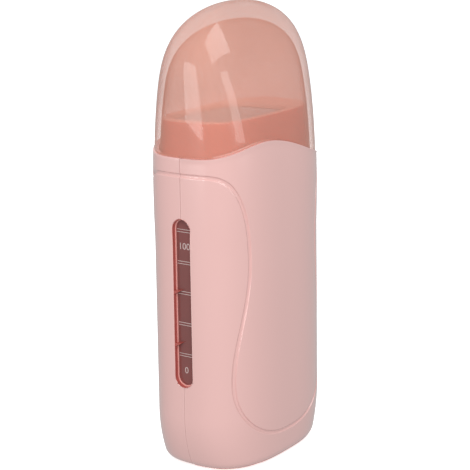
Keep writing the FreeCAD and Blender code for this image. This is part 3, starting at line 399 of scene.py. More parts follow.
def divide_near_groove(bm, wrapped_point, bands):
    """Halves the outside edges near the groove, once for each band width."""
    for band in bands:
        near = []
        for edge in bm.edges:
            a, b = edge.verts
            if min(a.co.z, b.co.z) > BETWEEN_LAYERS:
                middle = (a.co + b.co) / 2
                if groove_distance(wrapped_point(middle)) < band + edge.calc_length() / 2:
                    near.append(edge)
        bmesh.ops.subdivide_edges(bm, edges=near, cuts=1, use_grid_fill=True)


def finished_mesh(name, bm, body, stands_for=(), smooth_below=35.0):
    """Writes the mesh into an object at the origin that rides on its body."""
    mesh = bpy.data.meshes.new(name)
    bm.to_mesh(mesh)
    bm.free()
    piece = added(name, mesh)
    mesh.shade_smooth()
    mesh.set_sharp_from_angle(angle=math.radians(smooth_below))
    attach(piece, body)
    if stands_for:
        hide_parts(*stands_for)
    triangles = sum(len(p.vertices) - 2 for p in mesh.polygons)
    print(name, "has", triangles, "triangles")
    return piece


# %% [markdown]
# ## The two case shells
#
# The case is two moulded halves that meet at the middle of the narrow sides. Each half is a
# wrapped sheet. The window slot, the inlet, the switch and the lens lie across the joint, so
# each half carries half of those openings. The inner layer is placed straight behind the
# outer one, so the walls of the openings run straight in, as a mould makes them.

# %% How a point of the flat sheet finds its place on a shell
RIM_ROW = 138.0
WAVE_START = 114.0
NARROW_REACH, BROAD_REACH = 12.5, 35.5
SEAM, TINY = 0.05, 0.004


def shell_height(flat):
    """Height of a flat point: rows near the top follow the rim's wave."""
    if flat.y <= WAVE_START:
        return flat.y
    x = on_form(angle_at(flat.x), RIM_ROW).x
    share = (flat.y - WAVE_START) / (RIM_ROW - WAVE_START)
    return WAVE_START + (rim_height(x) - WAVE_START) * share


def angle_behind(angle, height, inset):
    """The angle at which the inner wall lies straight behind the outer wall."""
    wide, deep, power = half_sizes(height)
    inner_wide, inner_deep, _ = half_sizes(height, inset)
    folded = min(angle, math.pi - angle)
    by_depth = math.asin(min(1.0, math.sin(folded) * (deep / inner_deep) ** (power / 2)))
    by_width = math.acos(min(1.0, math.cos(folded) * (wide / inner_wide) ** (power / 2)))
    start = math.asin((NARROW_REACH / deep) ** (power / 2))
    end = math.acos((BROAD_REACH / wide) ** (power / 2))
    share = eased((folded - start) / (end - start))
    found = by_depth + (by_width - by_depth) * share
    return found if angle < math.pi / 2 else math.pi - found


def shell_point(flat, side):
    """Place of a flat point. The halves meet inside and leave a fine open line outside."""
    height = shell_height(flat)
    if flat.z < BETWEEN_LAYERS:
        return on_form(angle_behind(angle_at(flat.x), height, WALL), height, WALL, side)
    angle = angle_at(min(max(flat.x, SEAM), HALF_GIRTH - SEAM))
    point = on_form(angle, height, 0.0, side)
    sink = groove_sink(point)
    return on_form(angle, height, sink, side) if sink > 0 else point


# %% Openings of the shells
SLOT = round_outline(9.5, 74.1, 4.74, 75.45, 9)
INLET_HOLE = round_outline(22.3, 13.3, 2.15, 21.0)
SWITCH_HOLE = round_outline(12.3, 16.9, 0.9, 60.0, 3)
LENS_HOLE = round_outline(5.5, 5.5, 2.74, 82.0)
SCREW_PLACES = [(32.0, 103.0), (32.0, 35.5), (16.5, 9.5), (-30.0, 9.5)]
SCREW_RECESS = 3.1

# %% One shell
SHELL_COLUMNS = 108
FIRST_STEP, WIDEST_STEP, STEP_GROWTH = 0.35, 1.25, 1.25
GROOVE_BANDS = (2.4, 1.5, 1.15)
EDGE_RADIUS, SEAM_REACH = 0.2, 0.3


def shell_rows():
    """Row heights of a shell: close at the rounded foot, wider above."""
    heights = [SHELL_FOOT]
    step = FIRST_STEP
    while heights[-1] < RIM_ROW - 1.0:
        heights.append(heights[-1] + step)
        step = min(WIDEST_STEP, step * STEP_GROWTH)
    heights[-1] = RIM_ROW
    return heights


def case_shell(side):
    """The front (side -1) or rear (side 1) half of the case."""
    bm = flat_sheet(SHELL_COLUMNS, shell_rows())
    carve(bm, on_narrow_side(SLOT, 0, side))
    for outline in (INLET_HOLE, SWITCH_HOLE, LENS_HOLE):
        carve(bm, on_narrow_side(outline, 1, side))
    if side > 0:
        for x, z in SCREW_PLACES:
            wide = 2 * SCREW_RECESS
            ring = round_outline(wide, wide, SCREW_RECESS - 0.01, z, 5)
            carve(bm, on_broad_side(ring, x))
    thickened(bm)
    divide_near_groove(bm, lambda flat: shell_point(flat, side), GROOVE_BANDS)
    for vert in bm.verts:
        vert.co = shell_point(vert.co, side) * MM
    turn_out(bm)
    corners = [e for e in bm.edges if len(e.link_faces) == 2
               and (e.link_faces[0].material_index == EDGE)
               != (e.link_faces[1].material_index == EDGE)
               and max(abs(v.co.y) for v in e.verts) > SEAM_REACH * MM]
    bmesh.ops.bevel(bm, geom=corners, offset=EDGE_RADIUS * MM, offset_type="OFFSET",
                    segments=2, profile=0.5, affect="EDGES", clamp_overlap=False, material=-1)
    bmesh.ops.remove_doubles(bm, verts=bm.verts, dist=TINY * MM)
    bmesh.ops.dissolve_degenerate(bm, edges=bm.edges, dist=TINY * MM)
    for face in bm.faces:
        face.material_index = 0
    return bm


front = finished_mesh("case_front", case_shell(-1), "case", ["front_shell"])

# %% [markdown]
# The rear half also carries the screw wells. Each is a plain turned cup, spun from its
# profile about the screw's axis, with its closed end under the screw's head.

# %% Screw wells of the rear half
SCREW_SEAT, SCREW_HOLE = 5.6, 1.7
CUP_FLOOR, CUP_WALL, CUP_OPEN = 0.3, 1.3, 20.0
TURN_STEPS = 40


def spun(profile, centre, axis):
    """A turned shape from (radius, distance along the axis) pairs, in millimetres."""
    bm = bmesh.new()
    across = Vector((1, 0, 0))
    chain = [bm.verts.new((centre + across * r + axis * d) * MM) for r, d in profile]
    edges = [bm.edges.new(pair) for pair in zip(chain, chain[1:])]
    bmesh.ops.spin(bm, geom=chain + edges, cent=centre * MM, axis=axis,
                   angle=2 * math.pi, steps=TURN_STEPS, use_merge=True)
    bmesh.ops.remove_doubles(bm, verts=bm.verts, dist=1e-7)
    bmesh.ops.recalc_face_normals(bm, faces=bm.faces)
    return bm


def join(target, other):
    """Adds the second mesh to the first."""
    mesh = bpy.data.meshes.new("joined")
    other.to_mesh(mesh)
    other.free()
    target.from_mesh(mesh)
    bpy.data.meshes.remove(mesh)


def wall_depth(x, z, inset):
    """Y of the form's rear surface, shrunk by inset, at a place on the broad side."""
    half_width, half_depth, power = half_sizes(z, inset)
    return half_depth * max(0.0, 1 - abs(x / half_width) ** power) ** (1 / power)


rear_bm = case_shell(1)
cup_out = SCREW_RECESS + CUP_WALL
cup = [(SCREW_HOLE, CUP_FLOOR), (cup_out, CUP_FLOOR), (cup_out, CUP_OPEN),
       (SCREW_RECESS, CUP_OPEN), (SCREW_RECESS, SCREW_SEAT), (SCREW_HOLE, SCREW_SEAT),
       (SCREW_HOLE, CUP_FLOOR)]
for x, z in SCREW_PLACES:
    well = spun(cup, Vector((x, 0, z)), Vector((0, 1, 0)))
    for vert in well.verts:
        if vert.co.y > (CUP_OPEN - 1) * MM:
            vert.co.y = wall_depth(vert.co.x / MM, vert.co.z / MM, WALL / 2) * MM
    join(rear_bm, well)
rear = finished_mesh("case_rear", rear_bm, "case", ["rear_shell"])

# %% [markdown]
# ## The cap
#
# The cap is a milky clear hood that lifts off. It follows the same form half a millimetre
# further in, so the case stands a little proud round it, and its crown is thicker than its
# sides. It is one sheet whose rows run from the outer pole down, round the foot and up to
# the inner pole, and whose two upright edges are merged.

# %% The cap's skin
CAP_STEP, CAP_WALL, CAP_GAP = 0.5, 2.2, 0.12
CAP_TOP, CAP_CEILING = 199.96, 192.0
CAP_LEVEL, DOME_CENTRE = 148.0, 120.0
FOOT_ROUND = 0.25
CAP_COLUMNS, DOME_ROWS, ROUND_ROWS = 220, 58, 5
LOWER_SHARES = np.linspace(0.08, 0.97, 12)


def round_place(column, columns):
    """Angle and side of a column of a sheet that goes all the way round."""
    length = column % columns / columns * 2 * HALF_GIRTH
    if length <= HALF_GIRTH:
        return angle_at(length), 1
    return angle_at(2 * HALF_GIRTH - length), -1


def wrapped(columns, rows, place):
    """A closed skin: a grid bent by place(column, row), with its meeting edges merged."""
    bm = bmesh.new()
    bmesh.ops.create_grid(bm, x_segments=columns, y_segments=rows, size=1.0)
    for vert in bm.verts:
        column = round((vert.co.x + 1) / 2 * columns)
        row = round((vert.co.y + 1) / 2 * rows)
        vert.co = place(column, row) * MM
    bmesh.ops.remove_doubles(bm, verts=bm.verts, dist=1e-6)
    bmesh.ops.recalc_face_normals(bm, faces=bm.faces)
    return bm


def cap_rows():
    """Each row's inset, its form's top, its height, and how much it follows the wave."""
    def dome(inset, top):
        rise = top - DOME_CENTRE
        turns = np.linspace(math.pi / 2, math.asin((CAP_LEVEL - DOME_CENTRE) / rise), DOME_ROWS)
        rows = [(inset, top, DOME_CENTRE + rise * math.sin(turn), 0.0) for turn in turns]
        return rows + [(inset, top, 0.0, share) for share in LOWER_SHARES]

    inner = CAP_STEP + CAP_WALL
    turns = np.linspace(0, math.pi / 2, ROUND_ROWS)
    outer_round = [(CAP_STEP + FOOT_ROUND * (1 - math.cos(t)), CAP_TOP,
                    FOOT_ROUND * (1 - math.sin(t)), 1.0) for t in turns]
    inner_round = [(inner - FOOT_ROUND * (1 - math.cos(t)), CAP_CEILING,
                    FOOT_ROUND * (1 - math.sin(t)), 1.0) for t in turns[::-1]]
    outside, inside = dome(CAP_STEP, CAP_TOP), dome(inner, CAP_CEILING)
    return outside + outer_round + inner_round + inside[::-1]


CAP_ROWS = cap_rows()


def cap_point(column, row):
    angle, side = round_place(column, CAP_COLUMNS)
    inset, top, height, share = CAP_ROWS[row]
    if share > 0:
        x = on_form(angle, RIM_ROW).x
        foot = rim_height(x) + CAP_GAP
        height = foot + height if share == 1.0 else CAP_LEVEL + (foot - CAP_LEVEL) * share
    return on_form(angle, height, inset, side, top)


cap_bm = wrapped(CAP_COLUMNS, len(CAP_ROWS) - 1, cap_point)
for face in cap_bm.faces:
    outward = face.calc_center_median() - Vector((0, 0, DOME_CENTRE * MM))
    face.material_index = OUTSIDE if face.normal.dot(outward) > 0 else INSIDE
cap = finished_mesh("cap_hood", cap_bm, "cap", ["cap"], 60)

# %% [markdown]
# ## The collar and its deck
#
# Under the cap sits a collar: a ring that the cap slides over, a deck with a round-cornered
# well for the cartridge, and a lip below it that centres the heated sleeve. Its section is
# one closed line. Some rows lie on the form, some on the well's outline, and the deck's rows
# pass from one to the other.

# %% The collar's closed section
WELL_X, WELL_WIDE, WELL_DEEP, WELL_CORNER = -6.0, 54.0, 34.0, 11.0
COLLAR_LOW, COLLAR_STEP, COLLAR_TOP = 118.0, 127.0, 153.0
COLLAR_IN, COLLAR_FOOT_IN, COLLAR_WALL = 3.1, 2.52, 2.0
DECK_LOW, LIP_LOW = 150.6, 147.6
LIP_IN, LIP_OUT = 1.5, 2.7
CHAMFER, EDGE_ROUND, DECK_EDGE = 0.3, 1.1, 0.05
RING_HIGHS = np.linspace(COLLAR_STEP + 3, COLLAR_TOP - EDGE_ROUND, 9)
RING_LOWS = (140.0, 129.0, COLLAR_LOW)
EDGE_TURNS = np.linspace(0, math.pi / 2, 6)[1:]
DECK_SHARES, LIP_SHARES = np.linspace(0.1, 1.0, 10), (0.75, 0.5, 0.25, 0.0)
COLLAR_COLUMNS, FORM_MARGIN = 200, 0.2


def well_point(share, grow, height):
    """A point round the well's outline, grown by a margin, from its -X side to the rear."""
    wide, deep, corner = WELL_WIDE / 2 + grow, WELL_DEEP / 2 + grow, WELL_CORNER + grow
    flat_x, flat_y, arc = wide - corner, deep - corner, corner * math.pi / 2
    quarter = flat_x + flat_y + arc
    whole = share * 4
    part = min(int(whole), 3)
    travelled = (whole - part) * quarter
    if part % 2:
        travelled = quarter - travelled
    if travelled <= flat_y:
        x, y = wide, travelled
    elif travelled <= flat_y + arc:
        turn = (travelled - flat_y) / corner
        x, y = flat_x + corner * math.cos(turn), flat_y + corner * math.sin(turn)
    else:
        x, y = flat_x - (travelled - flat_y - arc), deep
    x = -x if part in (0, 3) else x
    return Vector((WELL_X + x, y if part < 2 else -y, height))


def collar_rows():
    """Rows of the section: inset on the form, margin on the well, share of the well, height."""
    rows = [(COLLAR_FOOT_IN, 0, 0.0, COLLAR_LOW + CHAMFER),
            (COLLAR_FOOT_IN, 0, 0.0, COLLAR_STEP - CHAMFER),
            (COLLAR_IN, 0, 0.0, COLLAR_STEP + CHAMFER)]
    rows += [(COLLAR_IN, 0, 0.0, z) for z in RING_HIGHS]
    rows += [(COLLAR_IN + EDGE_ROUND * (1 - math.cos(t)), 0, 0.0,
              COLLAR_TOP - EDGE_ROUND * (1 - math.sin(t))) for t in EDGE_TURNS]
    rows += [(COLLAR_IN + EDGE_ROUND, EDGE_ROUND, share, COLLAR_TOP) for share in DECK_SHARES]
    rows += [(0, EDGE_ROUND * (1 - math.sin(t)), 1.0,
              COLLAR_TOP - EDGE_ROUND * (1 - math.cos(t))) for t in EDGE_TURNS]
    rows += [(0, 0, 1.0, DECK_LOW + DECK_EDGE), (0, LIP_IN, 1.0, DECK_LOW),
             (0, LIP_IN, 1.0, LIP_LOW), (0, LIP_OUT, 1.0, LIP_LOW), (0, LIP_OUT, 1.0, DECK_LOW)]
    inside = COLLAR_IN + COLLAR_WALL
    rows += [(inside, LIP_OUT, share, DECK_LOW) for share in LIP_SHARES]
    rows += [(inside, 0, 0.0, z) for z in RING_LOWS]
    return rows + [(COLLAR_FOOT_IN + CHAMFER, 0, 0.0, COLLAR_LOW), rows[0]]


COLLAR_ROWS = collar_rows()


def held_in(point, inset, top):
    """Draws a point in to the form's section at that inset, if it lies outside it."""
    half_width, half_depth, power = half_sizes(point.z, inset, top)
    across, through = abs(point.x / half_width), abs(point.y / half_depth)
    reach = (across ** power + through ** power) ** (1 / power)
    return Vector((point.x / reach, point.y / reach, point.z)) if reach > 1 else point


def collar_point(column, row):
    angle, side = round_place(column, COLLAR_COLUMNS)
    inset, grow, share, height = COLLAR_ROWS[row]
    top = CAP_CEILING if height > COLLAR_STEP else TOP
    outer = on_form(angle, height, inset, side, top)
    inner = well_point(column % COLLAR_COLUMNS / COLLAR_COLUMNS, grow, height)
    return outer.lerp(held_in(inner, COLLAR_IN + FORM_MARGIN, top), share)


WALL_FACE, PAINTED_LIGHT_FACE = 0, 1
FACES_UP, ABOVE_LIP = 0.7, 0.01


def gets_painted_light(face):
    """Whether a face belongs to the deck's top or to the well's mouth, which get painted light.
    """
    middle = face.calc_center_median()
    from_well = Vector((middle.x - WELL_X * MM, middle.y, 0.0))
    turned = face.normal.z > FACES_UP or face.normal.dot(from_well) < 0
    return turned and middle.z > (DECK_LOW + ABOVE_LIP) * MM


# Faces turned up on the deck, and the well's mouth, get painted light: a paler coral than the
# collar.
collar_bm = wrapped(COLLAR_COLUMNS, len(COLLAR_ROWS) - 1, collar_point)
for face in collar_bm.faces:
    face.material_index = PAINTED_LIGHT_FACE if gets_painted_light(face) else WALL_FACE
collar = finished_mesh("collar_deck", collar_bm, "case", ["top_collar"], 50)

# %% [markdown]
# ## The level window
#
# The window is a clear insert behind the slot, with a flange that holds it against the wall.
# It starts as a flat sheet in the flange's outline. The part that fills the slot is raised
# from it by extruding, and then the whole is bent to the form.

# %% The window insert
WINDOW_FACE_IN, WINDOW_FLANGE_IN, WINDOW_BACK_IN = 2.2, 2.52, 3.92
WINDOW_MIDDLE = 75.45
FLANGE_SIZE = (15.5, 80.1, 7.74)
FACE_SIZE = (9.26, 73.86, 4.62)
BLANK_WIDE, BLANK_TALL = 18.0, 84.0
BLANK_COLUMNS, BLANK_ROWS = 12, 60


def window_point(flat, insets):
    """Places a flat point: across, height, and the number of its layer."""
    inset = insets[round(flat.z)]
    half_depth, power = half_sizes(flat.y, inset)[1:]
    angle = math.asin((abs(flat.x) / half_depth) ** (power / 2))
    return on_form(angle, flat.y, inset, 1 if flat.x > 0 else -1)


def window_insert():
    bm = bmesh.new()
    bmesh.ops.create_grid(bm, x_segments=BLANK_COLUMNS, y_segments=BLANK_ROWS, size=1.0)
    for vert in bm.verts:
        vert.co = Vector((vert.co.x * BLANK_WIDE / 2,
                          WINDOW_MIDDLE + vert.co.y * BLANK_TALL / 2, 1.0))
    flange, face = ([Vector((a, z, 0)) for a, z in round_outline(*size, WINDOW_MIDDLE, 9)]
                    for size in (FLANGE_SIZE, FACE_SIZE))
    kept = set(carve(bm, flange, remove=False))
    bmesh.ops.delete(bm, geom=[f for f in bm.faces if f not in kept], context="FACES")
    raised = carve(bm, face, remove=False)
    extruded(bm, bm.faces, -1)
    extruded(bm, raised, 1, keep=False)
    covered = [f for f in raised if f.is_valid]
    bmesh.ops.delete(bm, geom=covered, context="FACES")
    bmesh.ops.recalc_face_normals(bm, faces=bm.faces)
    layers = (WINDOW_BACK_IN, WINDOW_FLANGE_IN, WINDOW_FACE_IN)
    for vert in bm.verts:
        vert.co = window_point(vert.co, layers) * MM
    turn_out(bm)
    return bm


window = finished_mesh("window_insert", window_insert(), "case", ["level_window"])

# %% [markdown]
# A thin coral bezel lines the slot between the case's surface and the window, and a paler
# seal lies inside it. Each is drawn as the slot's outline, inset to a flat ring, and
# extruded. Two small wedges stand on the bezel's rear side wall.

# %% The slot's bezel and seal
BEZEL_FACE_IN, BEZEL_BACK_IN, SEAL_FACE_IN = 0.16, 2.19, 1.8
BEZEL_WIDE, BEZEL_TALL, BEZEL_CORNER = 9.46, 74.06, 4.72
BEZEL_THICK, SEAL_SHRINK, SEAL_THICK = 0.25, 0.5, 0.45
RING_STEPS, LONG_EDGE, LONG_CUTS = 12, 10.0, 40
WEDGES = (80.6, 57.4)
WEDGE_SHAPE = ((4.5, -1.3), (1.3, 0.55), (1.3, 0.8), (4.5, 0.3))


def slot_ring(shrink, thick, layers, wedges=()):
    """A ring that follows the slot's outline, with wedges on its rear side wall."""
    bm = bmesh.new()
    outline = round_outline(BEZEL_WIDE - shrink, BEZEL_TALL - shrink,
                            BEZEL_CORNER - shrink / 2, WINDOW_MIDDLE, RING_STEPS)
    bm.faces.new([bm.verts.new((a, z, 0.0)) for a, z in outline])
    bmesh.ops.remove_doubles(bm, verts=bm.verts, dist=0.01)
    long_edges = [e for e in bm.edges if e.calc_length() > LONG_EDGE]
    bmesh.ops.subdivide_edges(bm, edges=long_edges, cuts=LONG_CUTS)
    middle = list(bm.faces)
    bmesh.ops.inset_region(bm, faces=middle, thickness=thick, use_boundary=True,
                           use_even_offset=True)
    bmesh.ops.delete(bm, geom=middle, context="FACES")
    for height in wedges:
        bm.faces.new([bm.verts.new((a, height + rise, 0.0)) for a, rise in WEDGE_SHAPE])
    extruded(bm, bm.faces, 1)
    bmesh.ops.recalc_face_normals(bm, faces=bm.faces)
    for vert in bm.verts:
        vert.co = window_point(vert.co, layers) * MM
    bmesh.ops.recalc_face_normals(bm, faces=bm.faces)
    return bm


bezel_bm = slot_ring(0.0, BEZEL_THICK, (BEZEL_BACK_IN, BEZEL_FACE_IN), WEDGES)
seal_bm = slot_ring(SEAL_SHRINK, SEAL_THICK, (BEZEL_BACK_IN, SEAL_FACE_IN))
bezel = finished_mesh("slot_bezel", bezel_bm, "case")
seal = finished_mesh("slot_seal", seal_bm, "case")

# %% [markdown]
# The scale is printed on the window: pairs of fine white lines, and a plain number near each
# end. The lines are thin bars bent to the window's face, and the numbers are text that is
# made a mesh before it is bent the same way.

# %% Scale lines and numbers
TICKS = (107.0, 93.2, 80.0, 66.3, 52.5)
TICK_APART, TICK_HALF, TICK_THICK, TICK_SHIFT = 0.55, 3.9, 0.12, -0.2
NUMBERS = (("100", 100.2), ("0", 45.6))
NUMBER_SIZE = 4.0
PRINT_LAYERS = (WINDOW_FACE_IN - 0.01, WINDOW_FACE_IN - 0.06)


def text_mesh(words, size):
    """A flat mesh of a word, centred on its own middle."""
    curve = bpy.data.curves.new("words", "FONT")
    curve.body = words
    curve.size = size
    curve.align_x = "CENTER"
    curve.align_y = "CENTER"
    holder = added("words", curve)
    bpy.context.view_layer.update()
    mesh = bpy.data.meshes.new_from_object(holder.evaluated_get(
        bpy.context.evaluated_depsgraph_get()))
    bpy.data.objects.remove(holder)
    bpy.data.curves.remove(curve)
    return mesh


def scale_print():
    """All lines and numbers of the scale, bent to the window's face."""
    bm = bmesh.new()
    for height in TICKS:
        for offset in (-TICK_APART, TICK_APART):
            grid = bmesh.ops.create_grid(bm, x_segments=14, y_segments=1, size=1.0)["verts"]
            for vert in grid:
                vert.co = Vector((vert.co.x * TICK_HALF + TICK_SHIFT,
                                  height + offset + vert.co.y * TICK_THICK, 0))
    for words, height in NUMBERS:
        mesh = text_mesh(words, NUMBER_SIZE)
        flat = bmesh.new()
        flat.from_mesh(mesh)
        bpy.data.meshes.remove(mesh)
        for vert in flat.verts:
            vert.co = Vector((-vert.co.x, height + vert.co.y, 0))
        join(bm, flat)
    extruded(bm, bm.faces, 1)
    for vert in bm.verts:
        vert.co = window_point(vert.co, PRINT_LAYERS) * MM
    bmesh.ops.recalc_face_normals(bm, faces=bm.faces)
    return bm


scale = finished_mesh("window_scale", scale_print(), "case")

# %% [markdown]
# ## Small moulded parts with softened edges
#
# The switch, the inlet, the lens and the feet are simple shapes whose solids are already
# exact. What they lack is the small radius that every moulded edge has. A copy of each mesh
# is merged, its flat faces are joined, and its corners are bevelled.

# %% Soften the corners of a solid's copy
FLAT_BELOW, CORNER_ABOVE = math.radians(0.5), math.radians(30.0)
SOFT_EDGED = (("switch_frame", "switch_housing", 0.3, 2, "case", "dark_plastic"),
              ("switch_paddle", "switch_rocker", 0.4, 3, "rocker", "rocker"),
              ("inlet_socket", "power_inlet", 0.3, 2, "case", "dark_plastic"),
              ("lamp_lens", "indicator_lens", 0.25, 3, "case", "lens"),
              ("soft_feet", "rubber_feet", 0.3, 3, "case", "foot"))


def softened(node, radius, segments):
    """A copy of a solid's mesh with its corners rounded to a radius in millimetres."""
    bm = bmesh.new()
    bm.from_mesh(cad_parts[node].data)
    bmesh.ops.remove_doubles(bm, verts=bm.verts, dist=1e-6)
    bmesh.ops.dissolve_limit(bm, angle_limit=FLAT_BELOW, verts=bm.verts, edges=bm.edges)
    sharp = [e for e in bm.edges if len(e.link_faces) == 2
             and e.calc_face_angle(0.0) > CORNER_ABOVE]
    bmesh.ops.bevel(bm, geom=sharp, offset=radius * MM, offset_type="OFFSET",
                    segments=segments, profile=0.5, affect="EDGES", clamp_overlap=True,
                    material=-1)
    return bm


small_pieces = dict(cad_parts)
for name, node, radius, segments, body, slot in SOFT_EDGED:
    small_pieces[name] = finished_mesh(name, softened(node, radius, segments), body,
                                       [node])

# %% [markdown]
# ## Finishes
#
# Moulded plastic is never one flat colour. It has a faint drift in tone from the flow of the
# melt, a fine unevenness that breaks up reflections, and edges that have been rubbed. One
# node group makes these from the object's own coordinates, and each finish places it with
# its own values.

# %% The shared surface group
WORN_FROM, WORN_FULLY = 0.53, 0.62
COLOUR_SOCKETS = (("Main", 0.8), ("Drift", 0.7), ("Worn", 0.9))
VALUE_SOCKETS = (("Drift Scale", 14.0), ("Grain Scale", 900.0), ("Grain Stretch", 1.0),
                 ("Smoothest", 0.2), ("Roughest", 0.3), ("Edge Wear", 0.2))
RESULT_SOCKETS = (("Color", "NodeSocketColor"), ("Roughness", "NodeSocketFloat"),
                  ("Height", "NodeSocketFloat"))
GROUP_NODES = (
    ("given", "NodeGroupInput", {}), ("result", "NodeGroupOutput", {}),
    ("place", "ShaderNodeTexCoord", {}), ("shape", "ShaderNodeNewGeometry", {}),
    ("drift", "ShaderNodeTexNoise", {"Detail": 3.0}),
    ("grain", "ShaderNodeTexNoise", {"Detail": 4.0}),
    ("stretch", "ShaderNodeCombineXYZ", {"X": 1.0, "Y": 1.0}),
    ("scaled", "ShaderNodeVectorMath", {}), ("toned", "ShaderNodeMix", {}),
    ("worn", "ShaderNodeMix", {}), ("rough", "ShaderNodeMapRange", {}),
    ("edges", "ShaderNodeMapRange", {"From Min": WORN_FROM, "From Max": WORN_FULLY}))
GROUP_LINKS = (
    ("place", "Object", "drift", "Vector"), ("given", "Drift Scale", "drift", "Scale"),
    ("place", "Object", "scaled", 0), ("given", "Grain Stretch", "stretch", "Z"),
    ("stretch", "Vector", "scaled", 1), ("scaled", "Vector", "grain", "Vector"),
    ("given", "Grain Scale", "grain", "Scale"), ("drift", "Fac", "toned", "Factor"),
    ("given", "Main", "toned", "A"), ("given", "Drift", "toned", "B"),
    ("shape", "Pointiness", "edges", "Value"), ("given", "Edge Wear", "edges", "To Max"),
    ("edges", "Result", "worn", "Factor"), ("toned", "Result", "worn", "A"),
    ("given", "Worn", "worn", "B"), ("grain", "Fac", "rough", "Value"),
    ("given", "Smoothest", "rough", "To Min"), ("given", "Roughest", "rough", "To Max"),
    ("worn", "Result", "result", "Color"), ("rough", "Result", "result", "Roughness"),
    ("grain", "Fac", "result", "Height"))


def surface_group():
    """Colour, roughness and height that vary gently over a surface."""
    tree = bpy.data.node_groups.new("surface_variation", "ShaderNodeTree")
    for name, grey in COLOUR_SOCKETS:
        socket = tree.interface.new_socket(name, in_out="INPUT", socket_type="NodeSocketColor")
        socket.default_value = (grey, grey, grey, 1)
    for name, value in VALUE_SOCKETS:
        socket = tree.interface.new_socket(name, in_out="INPUT", socket_type="NodeSocketFloat")
        socket.default_value = value
    for name, kind in RESULT_SOCKETS:
        tree.interface.new_socket(name, in_out="OUTPUT", socket_type=kind)
    nodes = {}
    for name, kind, values in GROUP_NODES:
        nodes[name] = tree.nodes.new(kind)
        for socket, value in values.items():
            nodes[name].inputs[socket].default_value = value
    nodes["scaled"].operation = "MULTIPLY"
    nodes["toned"].data_type = nodes["worn"].data_type = "RGBA"
    for source, output, target, socket in GROUP_LINKS:
        tree.links.new(nodes[source].outputs[output], nodes[target].inputs[socket])
    return tree


SURFACE = surface_group()
print("shared group has", len(SURFACE.nodes), "nodes")

# %% A finish from the group
RELIEF_HEIGHT = 0.2


def rgba(red, green, blue):
    """A screen colour of 0 to 255 as the linear colour that shaders use."""
    def linear(part):
        part /= 255
        return part / 12.92 if part <= 0.04045 else ((part + 0.055) / 1.055) ** 2.4
    return linear(red), linear(green), linear(blue), 1.0


def finish_of(name, main, drift, worn=None, relief=0.02, shader=None, **values):
    """A material whose colour, roughness and relief come from the shared group."""
    material = bpy.data.materials.new(name)
    material.use_nodes = True
    nodes, links = material.node_tree.nodes, material.node_tree.links
    plastic = nodes["Principled BSDF"]
    group = nodes.new("ShaderNodeGroup")
    group.node_tree = SURFACE
    group.inputs["Main"].default_value = rgba(*main)
    group.inputs["Drift"].default_value = rgba(*drift)
    group.inputs["Worn"].default_value = rgba(*(worn or main))
    for socket, value in values.items():
        group.inputs[socket.replace("_", " ")].default_value = value
    links.new(group.outputs["Color"], plastic.inputs["Base Color"])
    links.new(group.outputs["Roughness"], plastic.inputs["Roughness"])
    bump = nodes.new("ShaderNodeBump")
    bump.inputs["Strength"].default_value = relief
    bump.inputs["Distance"].default_value = RELIEF_HEIGHT * MM
    links.new(group.outputs["Height"], bump.inputs["Height"])
    links.new(bump.outputs["Normal"], plastic.inputs["Normal"])
    for socket, value in (shader or {}).items():
        plastic.inputs[socket].default_value = value
    return material


def ramp(nodes, low, high, least, most):
    """A Map Range node that goes from least to most while its input goes from low to high."""
    node = nodes.new("ShaderNodeMapRange")
    names = ("From Min", "From Max", "To Min", "To Max")
    for name, value in zip(names, (low, high, least, most)):
        node.inputs[name].default_value = value
    return node


SLANT_RANGE, CROWN_RANGE = (0.58, 0.80), (168 * MM, 198 * MM)


def make_milky(material, face_on, edge_on, crown):
    """Milky plastic hides more where it is seen along the wall, and in the thick crown."""
    nodes, links = material.node_tree.nodes, material.node_tree.links
    slant = nodes.new("ShaderNodeLayerWeight")
    by_slant = ramp(nodes, *SLANT_RANGE, face_on, edge_on)
    links.new(slant.outputs["Facing"], by_slant.inputs["Value"])
    place = nodes.new("ShaderNodeTexCoord")
    parts = nodes.new("ShaderNodeSeparateXYZ")
    links.new(place.outputs["Object"], parts.inputs["Vector"])
    by_height = ramp(nodes, *CROWN_RANGE, face_on, crown)
    links.new(parts.outputs["Z"], by_height.inputs["Value"])
    larger = nodes.new("ShaderNodeMath")
    larger.operation = "MAXIMUM"
    links.new(by_slant.outputs["Result"], larger.inputs[0])
    links.new(by_height.outputs["Result"], larger.inputs[1])
    links.new(larger.outputs["Value"], nodes["Principled BSDF"].inputs["Alpha"])


def dress(piece, material):
    """Gives a piece its material in every slot."""
    if not piece.data.materials:
        piece.data.materials.append(material)
    for index in range(len(piece.data.materials)):
        piece.data.materials[index] = material


# %% [markdown]
# The case is glossy pink plastic with a clear, hard surface. The cap is a milky clear
# plastic. It hides least where it is seen straight on, and more along its edges and in its
# thick crown. Its inside is satin, so only its outside shines. A paler tone shows above the
# collar's coral edge: the deck's top and the well's mouth are painted a paler coral, as
# painted light for the light from above that falls on them through the cap.

# %% Finishes of the outer pieces
case_pink = finish_of("case_pink_gloss", (240, 194, 189), (236, 189, 184), (246, 208, 203),
                      relief=0.015, Smoothest=0.16, Roughest=0.24, Edge_Wear=0.35,
                      shader={"Coat Weight": 0.8, "Coat Roughness": 0.05})
cap_milk = finish_of("cap_milky_clear", (220, 162, 143), (216, 156, 137), (232, 184, 169),
                     relief=0.004, Smoothest=0.28, Roughest=0.34, Edge_Wear=0.3,
                     shader={"Specular IOR Level": 0.12, "Coat Weight": 1.0, "Coat IOR": 1.5,
                             "Coat Roughness": 0.005})
cap_inside = finish_of("cap_satin_inside", (218, 161, 142), (214, 155, 136), relief=0.004,
                       Smoothest=0.5, Roughest=0.6, shader={"Specular IOR Level": 0.1})
MILK_FACE_ON, MILK_EDGE_ON, MILK_CROWN = 0.47, 0.90, 0.60
for material in (cap_milk, cap_inside):
    make_milky(material, MILK_FACE_ON, MILK_EDGE_ON, MILK_CROWN)
